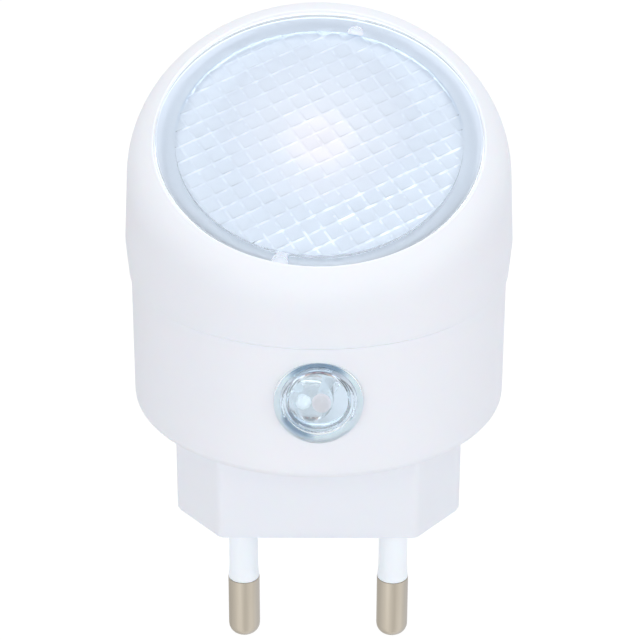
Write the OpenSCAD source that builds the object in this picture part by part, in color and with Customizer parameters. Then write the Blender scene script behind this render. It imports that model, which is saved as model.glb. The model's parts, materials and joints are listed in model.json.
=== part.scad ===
// Plug-in night light: a two-pin plug block under a round base, with a dusk sensor
// in the front of the base and a turning head whose lens faces obliquely forward.
// Z is up, away from the socket. Z = 0 is the face that meets the socket. Front is -Y.

/* [Plug block] */
// Width of the block across its two tips
block_w = 35.3; // [34:0.1:37]
// Width of the block's flat front
block_front_w = 24.2; // [22:0.1:26]
// Depth of the block, front to back
block_d = 17; // [16:0.1:19]
// Width of the flat left at each tip
block_tip_w = 2.8; // [2.4:0.1:4]
// Height of the block, socket face to base
block_h = 16.1; // [14:0.1:20]
// Radius of the block's upright edges
block_edge_r = 1.3; // [0.6:0.1:2]
// Thickness of the block's walls
block_wall = 1.8; // [1.4:0.1:2.2]
// Thickness of the block's floor, which holds the pins
block_floor = 3; // [2.4:0.1:4]

/* [Pins] */
// Distance between the two pins
pin_pitch = 19; // [18:0.1:20]
// Diameter of the metal tips
pin_d = 4; // [3.9:0.05:4.2]
// Length of the pins below the socket face
pin_len = 19; // [18:0.1:20]
// Radius of the rounding at the end of each pin
pin_round_r = 1.5; // [0.8:0.1:1.8]
// Diameter of the stem inside the sleeve
pin_stem_d = 2.8; // [2.4:0.1:3]
// Diameter of the riveted head inside the block
pin_head_d = 4.6; // [4:0.1:5]
// Height of the riveted head
pin_head_h = 1; // [0.6:0.1:1.4]
// Diameter of the insulating sleeves
sleeve_d = 3.65; // [3.5:0.05:3.65]
// Diameter of the sleeves' thicker lower end
sleeve_lip_d = 3.9; // [3.7:0.05:3.95]
// Length over which the sleeves thicken
sleeve_lip_l = 1.7; // [1:0.1:2.4]
// Length of the sleeves below the socket face
sleeve_len = 10.6; // [9:0.1:12]
// Depth of the sleeves' seats in the block's floor
sleeve_seat = 1.4; // [1:0.1:2]

/* [Contact straps] */
// Thickness of the strap
strap_t = 0.5; // [0.4:0.05:0.8]
// Width of the strap
strap_w = 4.4; // [4:0.1:5]
// Distance from the pin's axis to the strap's upright leg
strap_leg_y = 4.6; // [4:0.1:5]
// Width of the tab that goes through the main board
strap_tab_w = 1.6; // [1.2:0.1:2.4]
// Length of the tab above the main board
strap_tab_up = 0.9; // [0.5:0.1:1.4]

/* [Base] */
// Diameter of the base
base_d = 45; // [44:0.1:48]
// Height of the base, block to seam
base_h = 17; // [16.5:0.1:20]
// Thickness of the base's wall
base_wall = 1.6; // [1.4:0.1:2]
// Thickness of the base's floor
base_floor = 1.8; // [1.4:0.1:2.2]
// Radius of the base's lower edge
base_edge_r = 1.4; // [0.6:0.1:2]
// Diameter of the screw bosses
boss_d = 4.6; // [4.2:0.1:5]
// Gap between the bosses and the base's wall
boss_gap = 0.3; // [0.2:0.1:0.8]
// Extra radius of the step under the main board
boss_step = 1; // [0.6:0.1:1.4]
// Clear height under the main board
board_lift = 2.2; // [1.8:0.1:3]

/* [Sensor window] */
// Diameter of the window's rim
window_d = 10.2; // [9:0.1:11]
// Height of the window's centre above the base's lower edge
window_up = 10.2; // [9.6:0.1:10.8]
// Depth of the flat pocket for the rim, at the middle of the front
window_pocket = 0.62; // [0.6:0.02:0.9]
// Height of the rim above its pocket
window_rim_h = 0.85; // [0.6:0.05:1.2]
// Outer diameter of the window's skirt
window_skirt_d = 8.8; // [8:0.1:9.4]
// Inner diameter of the window's skirt
window_bore_d = 7.2; // [6.6:0.1:7.4]
// Thickness of the window's face
window_face_t = 1; // [0.8:0.1:1.4]
// Length of the skirt behind the wall
window_skirt_in = 0.8; // [0.4:0.1:1.2]

/* [Swivel] */
// Thickness of the plate that closes the base
plate_t = 2.6; // [2.4:0.1:3]
// Diameter of the swivel collar
collar_d = 18; // [16:0.1:19]
// Diameter of the wire passage through the collar
passage_d = 11; // [9:0.1:11.5]
// Height of the seam gap under the head
seam_gap = 0.15; // [0.15:0.05:0.4]
// Width of the rib between the stops' groove and the plate's screws
stop_rib = 0.4; // [0.4:0.1:0.8]
// Width of the stops, along the turn
stop_w = 1; // [0.8:0.1:1]
// Length of the stops, towards the axis
stop_l = 1.8; // [1.4:0.1:2]
// Depth of the groove that the stops run in
stop_groove = 1.5; // [1.2:0.1:1.6]
// Distance from the collar to the friction ring
friction_from_collar = 0.7; // [0.7:0.1:1]
// Width of the friction ring
friction_w = 2.8; // [2.2:0.1:3]
// Depth of the friction ring's groove
friction_groove = 0.6; // [0.55:0.05:0.6]
// Reach of the ring that holds the head down, past the collar
keeper_reach = 2.2; // [1.8:0.1:2.5]
// Thickness of the ring that holds the head down
keeper_t = 1.2; // [1:0.1:1.4]

/* [Head] */
// Diameter of the head at its lower edge
skirt_d = 45.5; // [45.3:0.1:48.6]
// Diameter of the head at its crease, its widest
head_d = 46.2; // [45.9:0.1:49]
// Diameter that the drafted wall would reach at the rim's height
head_top_d = 44.4; // [44:0.1:46]
// Height of the crease above the head's lower edge
crease_up = 4.25; // [3.6:0.05:5]
// Height of the lens rim's plane on the axis, above the head's lower edge
rim_up = 20.95; // [20.2:0.05:22]
// Angle between the lens and the horizontal
tilt = 28.8; // [27:0.1:30]
// Radius of the rounded rim at the front
rim_front_r = 6.7; // [6:0.1:7.4]
// Radius of the rounded rim at the back
rim_back_r = 7.9; // [6.6:0.1:8.2]
// Thickness of the head's wall
head_wall = 1.7; // [1.4:0.1:2]
// Thickness of the head's floor
head_floor = 1.8; // [1.6:0.1:2.2]

/* [Lens] */
// Diameter of the lens
lens_d = 38; // [37:0.1:38.4]
// Shift of the lens from the axis, down the slope
lens_shift = 4.5; // [4:0.1:5]
// Depth of the lens's flat face below the rim's plane
lens_sink = 0.6; // [0.1:0.05:0.9]
// Thickness of the lens
lens_t = 2.2; // [2:0.1:2.8]
// Height of the bevel round the lens
bevel_h = 0.3; // [0.2:0.05:0.5]
// Width of the bevel round the lens
bevel_w = 1.3; // [1:0.1:1.6]
// Distance of the two lens pegs from the lens's edge
peg_in = 1.6; // [1.5:0.1:1.8]
// Direction of the first lens peg
peg_angle = 75.6; // [60:0.1:90]
// Diameter of the lens pegs
peg_d = 1.9; // [1.6:0.1:2]
// Length of the lens pegs
peg_len = 3; // [2.6:0.1:3.4]
// Radius of the field of small prisms on the lens's underside
field_r = 16.7; // [15:0.1:17]
// Depth of the field's recess in the underside
field_in = 0.5; // [0.3:0.05:0.7]
// Distance from one prism to the next
prism_pitch = 2.06; // [1.8:0.02:3]
// Direction of the prisms' rows
prism_angle = 30.5; // [0:0.5:45]
// Width of the grooves between the prisms
prism_groove_w = 0.5; // [0.3:0.05:0.7]
// Depth of the grooves between the prisms
prism_groove_h = 0.35; // [0.2:0.05:0.45]
// Width of the ledge under the lens
ledge_w = 3; // [2.8:0.1:3.2]
// Thickness of the ledge under the lens
ledge_t = 1.5; // [1.2:0.1:1.8]
// Thickness of the cup wall round the lens, inside the head
cup_wall = 1.3; // [1:0.1:1.6]

/* [Reflector and lamp board] */
// Thickness of the reflector's flange
flange_t = 0.8; // [0.6:0.1:1]
// Shift of the lamp and its dish from the lens's axis, up the slope
lamp_shift = 3.2; // [2.4:0.1:3.6]
// Depth of the reflector's dish below its flange
dish_h = 4; // [3.6:0.1:4.6]
// Thickness of the dish
dish_t = 0.9; // [0.7:0.1:1.1]
// Radius of the hole at the bottom of the dish
dish_hole_r = 3.8; // [3.7:0.1:4.2]
// Length of the collar under the dish
snout_h = 1; // [0.9:0.1:1.4]
// Diameter of the lamp board
lamp_board_d = 15; // [14.6:0.1:16]
// Thickness of the lamp board
lamp_board_t = 1; // [0.8:0.1:1.2]
// Distance of the lamp board's screws from its centre
lamp_screw_at = 5.7; // [5.6:0.1:5.9]
// Diameter of the lamp's dome
led_d = 4.8; // [4:0.1:5]
// Height of the lamp
led_h = 5.3; // [4.6:0.1:5.4]
// Width of the lamp's foot past its dome
led_foot_w = 0.5; // [0.3:0.1:0.6]
// Height of the lamp's foot
led_foot_h = 0.8; // [0.6:0.1:1]
// Thickness of the lamp's square legs
led_leg_t = 0.5; // [0.4:0.05:0.6]
// Distance between the lamp's legs
led_leg_pitch = 2.54; // [2.4:0.02:2.6]

/* [Circuit] */
// Thickness of the main board
main_board_t = 1.6; // [1:0.1:1.6]
// Length of the film capacitor
film_cap_l = 13; // [12:0.1:13]
// Width of the film capacitor
film_cap_w = 5.6; // [5:0.1:6]
// Height of the film capacitor
film_cap_h = 8; // [7:0.1:8.2]
// Diameter of the round capacitor
can_d = 6.3; // [5:0.1:6.3]
// Height of the round capacitor
can_h = 7.6; // [7:0.1:8]
// Length of the rectifier
rectifier_l = 7.6; // [6:0.1:8]
// Width of the rectifier
rectifier_w = 6.4; // [5:0.1:6.4]
// Height of the rectifier
rectifier_h = 3.3; // [2.5:0.1:3.6]
// Diameter of the resistors' bodies
resistor_d = 2.4; // [2:0.1:2.5]
// Length of the resistors' bodies
resistor_l = 6.3; // [5.5:0.1:6.5]
// Distance between the ends of the resistors' leads
resistor_span = 10; // [9:0.1:10.4]
// Diameter of the components' leads
lead_d = 0.6; // [0.5:0.05:0.7]
// Distance from the window's seat back to the sensor's tip
sensor_behind = 1; // [0.9:0.1:4]
// Drop of the sensor's axis below the window's centre
sensor_drop = 1.4; // [0.8:0.1:1.5]
// Shift of the sensor's axis to the side of the window's centre
sensor_aside = -0.8; // [-1:0.1:1]
// Diameter of the sensor's clear body
sensor_d = 5; // [4.6:0.1:5]
// Length of the sensor's clear body, dome included
sensor_l = 7; // [6.4:0.1:7.4]
// Diameter of the two insulated lamp leads
wire_d = 1.2; // [1:0.1:1.4]
// Distance between the two lamp leads
wire_pitch = 3.2; // [2.8:0.1:3.6]

/* [Screws] */
// Diameter of the screws that hold the swivel plate
plate_screw_d = 2; // [1.8:0.1:2.2]
// Diameter of those screws' heads
plate_screw_head_d = 3.8; // [3.6:0.1:4]
// Height of those screws' heads
plate_screw_head_h = 1.1; // [0.9:0.1:1.2]
// Length of those screws below the head
plate_screw_l = 6; // [5:0.1:7]
// Diameter of the small screws
small_screw_d = 1.6; // [1.4:0.1:1.7]
// Diameter of the small screws' heads
small_screw_head_d = 2.8; // [2.6:0.1:3]
// Height of the small screws' heads
small_screw_head_h = 0.8; // [0.6:0.1:0.9]
// Length of the small screws below the head
small_screw_l = 3; // [2.6:0.1:3]

/* [Hidden] */

$fn = 96;
eps = 0.01;
// Radial play between pieces that turn on each other
running_gap = 0.05;
// Play between pieces that are only pushed together
fit_gap = 0.05;
// Play between pieces that merely lie side by side
side_gap = 0.2;

// Heights, from the socket face up
floor_z = block_h + base_floor;
board_z = floor_z + board_lift;
board_top_z = board_z + main_board_t;
seam_z = block_h + base_h;
plate_z = seam_z - plate_t;
head_z = seam_z + seam_gap;
head_floor_top_z = head_z + head_floor;
collar_top_z = head_floor_top_z + 0.1;
keeper_top_z = collar_top_z + keeper_t;
crease_z = head_z + crease_up;
rim_z = head_z + rim_up;
window_z = block_h + window_up;
sensor_z = window_z - sensor_drop;

base_r = base_d / 2;
base_in_r = base_r - base_wall;
skirt_r = skirt_d / 2;
head_r = head_d / 2;
board_r = base_in_r - side_gap;
boss_at_r = base_in_r - boss_gap - boss_d / 2;
boss_web_w = boss_d / 2;
counterbore_d = plate_screw_head_d + 2 * side_gap;
window_skirt_l = base_wall - window_pocket + window_skirt_in;

// The stops run in a groove just inside the plate's screws
stop_groove_out_r = boss_at_r - counterbore_d / 2 - stop_rib;
stop_at_r = stop_groove_out_r - side_gap - stop_l / 2;
stop_groove_in_r = stop_at_r - stop_l / 2 - side_gap;
friction_in_r = collar_d / 2 + friction_from_collar;
friction_out_r = friction_in_r + friction_w;
friction_t = friction_groove + seam_gap - running_gap;
keeper_r = collar_d / 2 + keeper_reach;

// Angles of the three bosses, with the front left clear for the window
boss_angles = [90, 210, 330];
// Angles of the keeper's screws
keeper_angles = [90, 210, 330];
keeper_screw_at_r = (collar_d + passage_d) / 4;
// Places of the main board's own screws
board_screw_at_r = board_r - 5.1;
board_screw_places = [for (a = [138, 42]) board_screw_at_r * [cos(a), sin(a)]];
board_post_d = 4;

// Depths below the rim's plane, along the lens's own axis
lens_edge_depth = lens_sink + bevel_h;
lens_under_depth = lens_sink + lens_t;
ledge_depth = lens_under_depth + flange_t;
ledge_under_depth = ledge_depth + ledge_t;
dish_under_depth = lens_under_depth + dish_h + dish_t;
lamp_board_depth = dish_under_depth + snout_h;
lens_r = lens_d / 2;
pocket_r = lens_r + 0.1;
ledge_in_r = pocket_r - ledge_w;
flange_r = lens_r;
peg_at_r = lens_r - peg_in;
dish_r = ledge_in_r - side_gap - dish_t - lamp_shift;
peg_angles = [peg_angle, peg_angle + 180];

// ---- Shared shapes -------------------------------------------------------

function unit(v) = v / norm(v);

// Points of the arc that rounds corner p, between its neighbours a and b
function corner_arc(a, p, b, r, n) =
    let (
        u = unit(a - p),
        v = unit(b - p),
        half = acos(u * v) / 2,
        c = p + unit(u + v) * r / sin(half),
        s = p + u * r / tan(half) - c,
        e = p + v * r / tan(half) - c,
        start = atan2(s.y, s.x),
        turn = atan2(e.y, e.x) - start,
        sweep = turn > 180 ? turn - 360 : turn < -180 ? turn + 360 : turn
    )
    [for (i = [0:n]) c + r * [cos(start + sweep * i / n), sin(start + sweep * i / n)]];

// A convex outline with every corner rounded
function rounded(pts, r, n = 5) =
    let (m = len(pts))
    [for (i = [0:m - 1]) each corner_arc(pts[(i + m - 1) % m], pts[i], pts[(i + 1) % m], r, n)];

// A convex outline moved in by w on every side
function inset(pts, w) =
    let (m = len(pts))
    [for (i = [0:m - 1])
        let (
            u = unit(pts[(i + m - 1) % m] - pts[i]),
            v = unit(pts[(i + 1) % m] - pts[i])
        )
        pts[i] + unit(u + v) * w / sin(acos(u * v) / 2)];

// Quarter-round from angle a0 to a1 about c
function arc(c, r, a0, a1, n) =
    [for (i = [0:n]) c + r * [cos(a0 + (a1 - a0) * i / n), sin(a0 + (a1 - a0) * i / n)]];

module tube(outer_r, inner_r, h) {
    difference() {
        cylinder(r = outer_r, h = h);
        translate([0, 0, -eps]) cylinder(r = inner_r, h = h + 2 * eps);
    }
}

// Copies its children at radius r and at each angle
module around(angles, r) {
    for (a = angles) rotate([0, 0, a]) translate([r, 0, 0]) children();
}

// Puts its children on the lens's axis, at a depth below the rim's plane
module on_lens(depth) {
    translate([0, 0, rim_z])
        rotate([tilt, 0, 0])
            translate([0, -lens_shift, -depth])
                children();
}

// Puts its children on the lamp's axis, which lies up the slope from the lens's
module on_lamp(depth) {
    on_lens(depth) translate([0, lamp_shift, 0]) children();
}

// Puts its children on the window's axis, at a height above its pocket; up is outward
module on_window(height) {
    translate([0, -base_r + window_pocket, window_z])
        rotate([90, 0, 0])
            translate([0, 0, height])
                children();
}

// A pan-head screw with a cross recess, head upward, seated at z = 0
module screw(d, head_d, head_h, l) {
    recess_w = head_d * 0.16;
    recess_l = head_d * 0.62;
    recess_h = head_h * 0.55;
    difference() {
        union() {
            rotate_extrude()
                polygon([
                    [0, 0],
                    [head_d / 2, 0],
                    [head_d / 2, head_h * 0.45],
                    [head_d * 0.38, head_h * 0.85],
                    [head_d * 0.2, head_h],
                    [0, head_h]
                ]);
            translate([0, 0, -l]) cylinder(r1 = d * 0.25, r2 = d / 2, h = d * 0.7);
            translate([0, 0, -l + d * 0.7]) cylinder(r = d / 2, h = l - d * 0.7 + eps);
        }
        for (a = [0, 90])
            rotate([0, 0, a])
                translate([-recess_l / 2, -recess_w / 2, head_h - recess_h])
                    cube([recess_l, recess_w, head_h]);
    }
}

// ---- Plug block and base ---------------------------------------------------

block_corners = [
    [block_front_w / 2, -block_d / 2],
    [block_w / 2, -block_tip_w / 2],
    [block_w / 2, block_tip_w / 2],
    [block_front_w / 2, block_d / 2],
    [-block_front_w / 2, block_d / 2],
    [-block_w / 2, block_tip_w / 2],
    [-block_w / 2, -block_tip_w / 2],
    [-block_front_w / 2, -block_d / 2]
];
block_inner_r = 0.5;
face_edge = 0.4;

module block_outline(w = 0, r = block_edge_r) {
    polygon(rounded(inset(block_corners, w), r));
}

module base_cup() {
    rotate_extrude()
        polygon(concat(
            [[0, block_h]],
            arc([base_r - base_edge_r, block_h + base_edge_r], base_edge_r, -90, 0, 6),
            [[base_r, seam_z], [0, seam_z]]
        ));
}

module post(top_z, d) {
    translate([0, 0, floor_z - eps]) cylinder(d = d, h = top_z - floor_z + eps);
}

// A screw boss tied to the wall by a web, with a wider step that the main board rests on
module boss() {
    post(plate_z, boss_d);
    post(board_z, boss_d + 2 * boss_step);
    translate([0, -boss_web_w / 2, floor_z - eps])
        cube([base_in_r - boss_at_r + base_wall / 2, boss_web_w, plate_z - floor_z + eps]);
}

module base_housing() {
    boss_hole_l = plate_screw_l + 1;
    color("white") difference() {
        union() {
            difference() {
                union() {
                    base_cup();
                    translate([0, 0, face_edge]) linear_extrude(block_h) block_outline();
                    linear_extrude(face_edge + eps) block_outline(face_edge / 2);
                }
                translate([0, 0, floor_z]) cylinder(r = base_in_r, h = base_h);
                translate([0, 0, block_floor])
                    linear_extrude(block_h)
                        block_outline(block_wall, block_inner_r);
            }
            intersection() {
                union() {
                    around(boss_angles, boss_at_r) boss();
                    for (p = board_screw_places)
                        translate([p.x, p.y, 0]) post(board_z, board_post_d);
                }
                cylinder(r = base_in_r + base_wall / 2, h = seam_z);
            }
        }
        // seats of the two pins and their sleeves
        for (side = [-1, 1])
            translate([side * pin_pitch / 2, 0, -eps]) {
                cylinder(d = pin_stem_d + 2 * fit_gap, h = block_floor + 2 * eps);
                cylinder(d = sleeve_d + 2 * fit_gap, h = sleeve_seat + eps);
            }
        // pilot holes
        around(boss_angles, boss_at_r)
            translate([0, 0, plate_z - boss_hole_l])
                cylinder(d = plate_screw_d + 2 * fit_gap, h = boss_hole_l + eps);
        for (p = board_screw_places)
            translate([p.x, p.y, floor_z + 0.2])
                cylinder(d = small_screw_d + 2 * fit_gap, h = board_lift);
        // pocket and hole of the sensor window
        on_window(0) cylinder(d = window_d + 2 * fit_gap, h = base_wall + 1);
        on_window(-base_wall - 1)
            cylinder(d = window_skirt_d + 2 * fit_gap, h = base_wall + 2);
    }
}

// ---- Pins and straps -------------------------------------------------------

module pin(side) {
    shoulder_z = -sleeve_len;
    head_seat_z = block_floor + strap_t;
    color("silver") translate([side * pin_pitch / 2, 0, 0]) {
        rotate_extrude()
            polygon(concat(
                [[0, -pin_len]],
                arc([pin_d / 2 - pin_round_r, -pin_len + pin_round_r], pin_round_r, -90, 0, 6),
                [
                    [pin_d / 2, shoulder_z],
                    [pin_stem_d / 2, shoulder_z],
                    [pin_stem_d / 2, head_seat_z],
                    [pin_head_d / 2, head_seat_z],
                    [pin_head_d / 2, head_seat_z + pin_head_h * 0.5],
                    [pin_head_d * 0.36, head_seat_z + pin_head_h],
                    [0, head_seat_z + pin_head_h]
                ]
            ));
    }
}

module pin_sleeve(side) {
    bore_r = pin_stem_d / 2 + fit_gap;
    lip_edge = 0.1;
    color("white") translate([side * pin_pitch / 2, 0, 0])
        rotate_extrude()
            polygon([
                [bore_r, -sleeve_len],
                [sleeve_lip_d / 2 - lip_edge, -sleeve_len],
                [sleeve_lip_d / 2, -sleeve_len + lip_edge],
                [sleeve_d / 2, -sleeve_len + sleeve_lip_l],
                [sleeve_d / 2, sleeve_seat],
                [bore_r, sleeve_seat]
            ]);
}

module contact_strap(side) {
    leg_h = board_z - block_floor;
    color("goldenrod") translate([side * pin_pitch / 2, 0, block_floor]) difference() {
        union() {
            translate([-strap_w / 2, -strap_w / 2, 0])
                cube([strap_w, strap_w / 2 + strap_leg_y, strap_t]);
            translate([-strap_w / 2, strap_leg_y - strap_t, 0]) cube([strap_w, strap_t, leg_h]);
            translate([-strap_tab_w / 2, strap_leg_y - strap_t, leg_h - eps])
                cube([strap_tab_w, strap_t, main_board_t + strap_tab_up + eps]);
        }
        translate([0, 0, -eps])
            cylinder(d = pin_stem_d + 2 * fit_gap, h = strap_t + 2 * eps);
    }
}

// ---- Main board and its components -----------------------------------------

film_cap_at = [0, 9.4];
can_at = [8.2, -7.4];
rectifier_at = [-8.4, -7.4];
sensor_at = [sensor_aside, -base_r + window_pocket + sensor_behind + sensor_l];
transistor_at = [0, -4.6];
// The two side resistors lie this far in from the board's edge
side_part_in = 6.1;
fuse_at = [-board_r + side_part_in, 2.2];
bias_at = [board_r - side_part_in, 2.2];
bleed_at = [0, 4];
part_lift = 0.1;

module main_board() {
    color("white") translate([0, 0, board_z]) difference() {
        cylinder(r = board_r, h = main_board_t);
        around(boss_angles, boss_at_r)
            translate([0, 0, -eps]) cylinder(d = boss_d + 2 * side_gap, h = main_board_t + 1);
        around(boss_angles, boss_at_r)
            translate([0, -boss_web_w / 2 - side_gap, -eps])
                cube([boss_d, boss_web_w + 2 * side_gap, main_board_t + 1]);
        for (p = board_screw_places)
            translate([p.x, p.y, -eps])
                cylinder(d = small_screw_d + 2 * side_gap, h = main_board_t + 1);
        for (side = [-1, 1])
            translate([
                side * pin_pitch / 2 - strap_tab_w / 2 - fit_gap,
                strap_leg_y - strap_t - fit_gap,
                -eps
            ])
                cube([strap_tab_w + 2 * fit_gap, strap_t + 2 * fit_gap, main_board_t + 1]);
    }
}

module board_screws() {
    color("silver")
        for (p = board_screw_places)
            translate([p.x, p.y, board_top_z])
                screw(small_screw_d, small_screw_head_d, small_screw_head_h, small_screw_l);
}

module film_capacitor() {
    color("firebrick")
        translate([film_cap_at.x, film_cap_at.y, board_top_z])
            linear_extrude(film_cap_h)
                polygon(rounded([
                    [-film_cap_l / 2, -film_cap_w / 2],
                    [film_cap_l / 2, -film_cap_w / 2],
                    [film_cap_l / 2, film_cap_w / 2],
                    [-film_cap_l / 2, film_cap_w / 2]
                ], 0.8));
}

module round_capacitor() {
    bead_z = can_h * 0.14;
    bead_in = 0.25;
    color("dimgray")
        translate([can_at.x, can_at.y, board_top_z])
            rotate_extrude()
                polygon([
                    [0, 0],
                    [can_d / 2 - bead_in, 0],
                    [can_d / 2, bead_in],
                    [can_d / 2, bead_z],
                    [can_d / 2 - bead_in, bead_z + bead_in],
                    [can_d / 2, bead_z + 2 * bead_in],
                    [can_d / 2, can_h - bead_in],
                    [can_d / 2 - bead_in, can_h],
                    [0, can_h]
                ]);
}

module rectifier() {
    notch_r = 0.9;
    leg_t = 0.4;
    leg_w = 1;
    leg_pitch = rectifier_l * 0.62;
    color("black")
        translate([rectifier_at.x, rectifier_at.y, board_top_z + part_lift]) {
            difference() {
                translate([-rectifier_w / 2, -rectifier_l / 2, 0])
                    cube([rectifier_w, rectifier_l, rectifier_h - part_lift]);
                translate([0, -rectifier_l / 2, -eps])
                    cylinder(r = notch_r, h = rectifier_h + 1);
            }
            for (x = [-1, 1], y = [-1, 1])
                translate([
                    x * rectifier_w / 2 - (x > 0 ? eps : leg_t - eps),
                    y * leg_pitch / 2 - leg_w / 2,
                    -part_lift
                ])
                    cube([leg_t, leg_w, rectifier_h * 0.6]);
        }
}

// A resistor lying on its leads along Y, its ends bent down to the board
module resistor(c) {
    axis_up = resistor_d / 2 + part_lift;
    cap_l = resistor_l * 0.22;
    color(c) rotate([90, 0, 0]) {
        translate([0, axis_up, -resistor_l / 2])
            rotate_extrude()
                polygon([
                    [0, 0],
                    [resistor_d * 0.36, 0],
                    [resistor_d / 2, cap_l * 0.4],
                    [resistor_d / 2, cap_l],
                    [resistor_d * 0.43, cap_l * 1.3],
                    [resistor_d * 0.43, resistor_l - cap_l * 1.3],
                    [resistor_d / 2, resistor_l - cap_l],
                    [resistor_d / 2, resistor_l - cap_l * 0.4],
                    [resistor_d * 0.36, resistor_l],
                    [0, resistor_l]
                ]);
        translate([0, axis_up, -resistor_span / 2]) cylinder(d = lead_d, h = resistor_span);
    }
    color(c)
        for (side = [-1, 1])
            translate([0, side * (resistor_span - lead_d) / 2, 0])
                cylinder(d = lead_d, h = axis_up + lead_d / 2);
}

module fuse_resistor() {
    translate([fuse_at.x, fuse_at.y, board_top_z]) resistor("darkkhaki");
}

module bias_resistor() {
    translate([bias_at.x, bias_at.y, board_top_z]) resistor("lightblue");
}

module bleed_resistor() {
    translate([bleed_at.x, bleed_at.y, board_top_z]) rotate([0, 0, 90]) resistor("tan");
}

module switching_transistor() {
    case_r = 2.3;
    case_h = 4.6;
    leg_h = 1.4;
    leg_w = 0.45;
    leg_pitch = 1.27;
    flat_y = 1.2;
    color("black") translate([transistor_at.x, transistor_at.y, board_top_z]) {
        translate([0, 0, leg_h]) difference() {
            cylinder(r = case_r, h = case_h);
            translate([-case_r, -case_r - flat_y, -eps]) cube([2 * case_r, case_r, case_h + 1]);
        }
        for (i = [-1:1])
            translate([i * leg_pitch - leg_w / 2, -leg_w / 2, 0])
                cube([leg_w, leg_w, leg_h + eps]);
    }
}

// The clear round sensor looks out through the window on two bent leads
module dusk_sensor() {
    flange_d = sensor_d + 0.8;
    flange_l = 1;
    dome_r = sensor_d / 2;
    up = sensor_z - board_top_z;
    lead_back = 1.2;
    lead_pitch = 2.54;
    color("lightcyan") translate([sensor_at.x, sensor_at.y, sensor_z]) rotate([90, 0, 0])
        rotate_extrude()
            polygon(concat(
                [[0, 0], [flange_d / 2, 0], [flange_d / 2, flange_l], [dome_r, flange_l]],
                arc([0, sensor_l - dome_r], dome_r, 0, 90, 8)
            ));
    color("silver") translate([sensor_at.x, sensor_at.y, board_top_z])
        for (side = [-1, 1])
            translate([side * lead_pitch / 2, lead_back, 0]) {
                cylinder(d = lead_d, h = up + lead_d / 2);
                translate([0, 0, up]) rotate([90, 0, 0]) cylinder(d = lead_d, h = lead_back);
            }
}

// The window is a cap with a raised rim, a shallow ring groove and a low dome
module sensor_window() {
    rim_in_r = window_bore_d / 2 + 0.3;
    groove_h = window_rim_h * 0.55;
    dome_h = window_rim_h * 0.9;
    face_back = window_rim_h - window_face_t;
    edge = 0.35;
    color("lightblue", 0.6) on_window(0)
        rotate_extrude()
            polygon([
                [0, face_back],
                [window_bore_d / 2, face_back],
                [window_bore_d / 2, -window_skirt_l],
                [window_skirt_d / 2, -window_skirt_l],
                [window_skirt_d / 2, 0],
                [window_d / 2, 0],
                [window_d / 2, window_rim_h - edge],
                [window_d / 2 - edge, window_rim_h],
                [rim_in_r + edge, window_rim_h],
                [rim_in_r, groove_h],
                [rim_in_r * 0.62, groove_h + (dome_h - groove_h) * 0.7],
                [rim_in_r * 0.3, dome_h],
                [0, dome_h]
            ]);
}

// ---- Swivel ----------------------------------------------------------------

module swivel_plate() {
    color("gainsboro") difference() {
        union() {
            translate([0, 0, plate_z]) cylinder(r = base_in_r - fit_gap, h = plate_t);
            translate([0, 0, plate_z]) cylinder(d = collar_d, h = collar_top_z - plate_z);
        }
        translate([0, 0, plate_z - eps])
            cylinder(d = passage_d, h = collar_top_z - plate_z + 2 * eps);
        // groove that the head's stop runs in, left whole where the fixed stop stands
        difference() {
            translate([0, 0, seam_z - stop_groove])
                tube(stop_groove_out_r, stop_groove_in_r, plate_t);
            translate([-stop_w / 2, stop_groove_in_r - 1, plate_z])
                cube([stop_w, stop_l + 2, plate_t]);
        }
        translate([0, 0, seam_z - friction_groove])
            tube(friction_out_r + fit_gap, friction_in_r - fit_gap, plate_t);
        // scallop in the edge that clears the window's skirt
        on_window(-window_skirt_l - side_gap)
            cylinder(d = window_skirt_d + 2 * side_gap, h = window_skirt_l + base_wall);
        around(boss_angles, boss_at_r) {
            translate([0, 0, plate_z - eps])
                cylinder(d = plate_screw_d + 2 * side_gap, h = plate_t + 1);
            translate([0, 0, seam_z - plate_screw_head_h - side_gap])
                cylinder(d = counterbore_d, h = plate_t);
        }
        around(keeper_angles, keeper_screw_at_r)
            translate([0, 0, collar_top_z - small_screw_l])
                cylinder(d = small_screw_d + 2 * fit_gap, h = small_screw_l + 1);
    }
}

module plate_screws() {
    color("silver")
        around(boss_angles, boss_at_r)
            translate([0, 0, seam_z - plate_screw_head_h - side_gap])
                screw(plate_screw_d, plate_screw_head_d, plate_screw_head_h, plate_screw_l);
}

module friction_ring() {
    color("dimgray")
        translate([0, 0, seam_z - friction_groove])
            tube(friction_out_r, friction_in_r, friction_t);
}

module keeper_ring() {
    color("gainsboro") difference() {
        translate([0, 0, collar_top_z]) tube(keeper_r, passage_d / 2, keeper_t);
        around(keeper_angles, keeper_screw_at_r)
            translate([0, 0, collar_top_z - eps])
                cylinder(d = small_screw_d + 2 * fit_gap, h = keeper_t + 1);
    }
}

module keeper_screws() {
    color("silver")
        around(keeper_angles, keeper_screw_at_r)
            translate([0, 0, keeper_top_z])
                screw(small_screw_d, small_screw_head_d, small_screw_head_h, small_screw_l);
}

// ---- Head ------------------------------------------------------------------

rim_normal = [0, -sin(tilt), cos(tilt)];
shell_steps = 72;
rim_rows = 8;

// Radius of the head's wall at height z
function wall_r(z) =
    z < crease_z
        ? skirt_r + (head_r - skirt_r) * (z - head_z) / crease_up
        : head_r + (head_top_d / 2 - head_r) * (z - crease_z) / (rim_z - crease_z);

// Radius of the ball that rolls along inside the wall and under the rim's plane
function ball_r(a) = rim_front_r + (rim_back_r - rim_front_r) * (1 + sin(a)) / 2;
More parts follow.
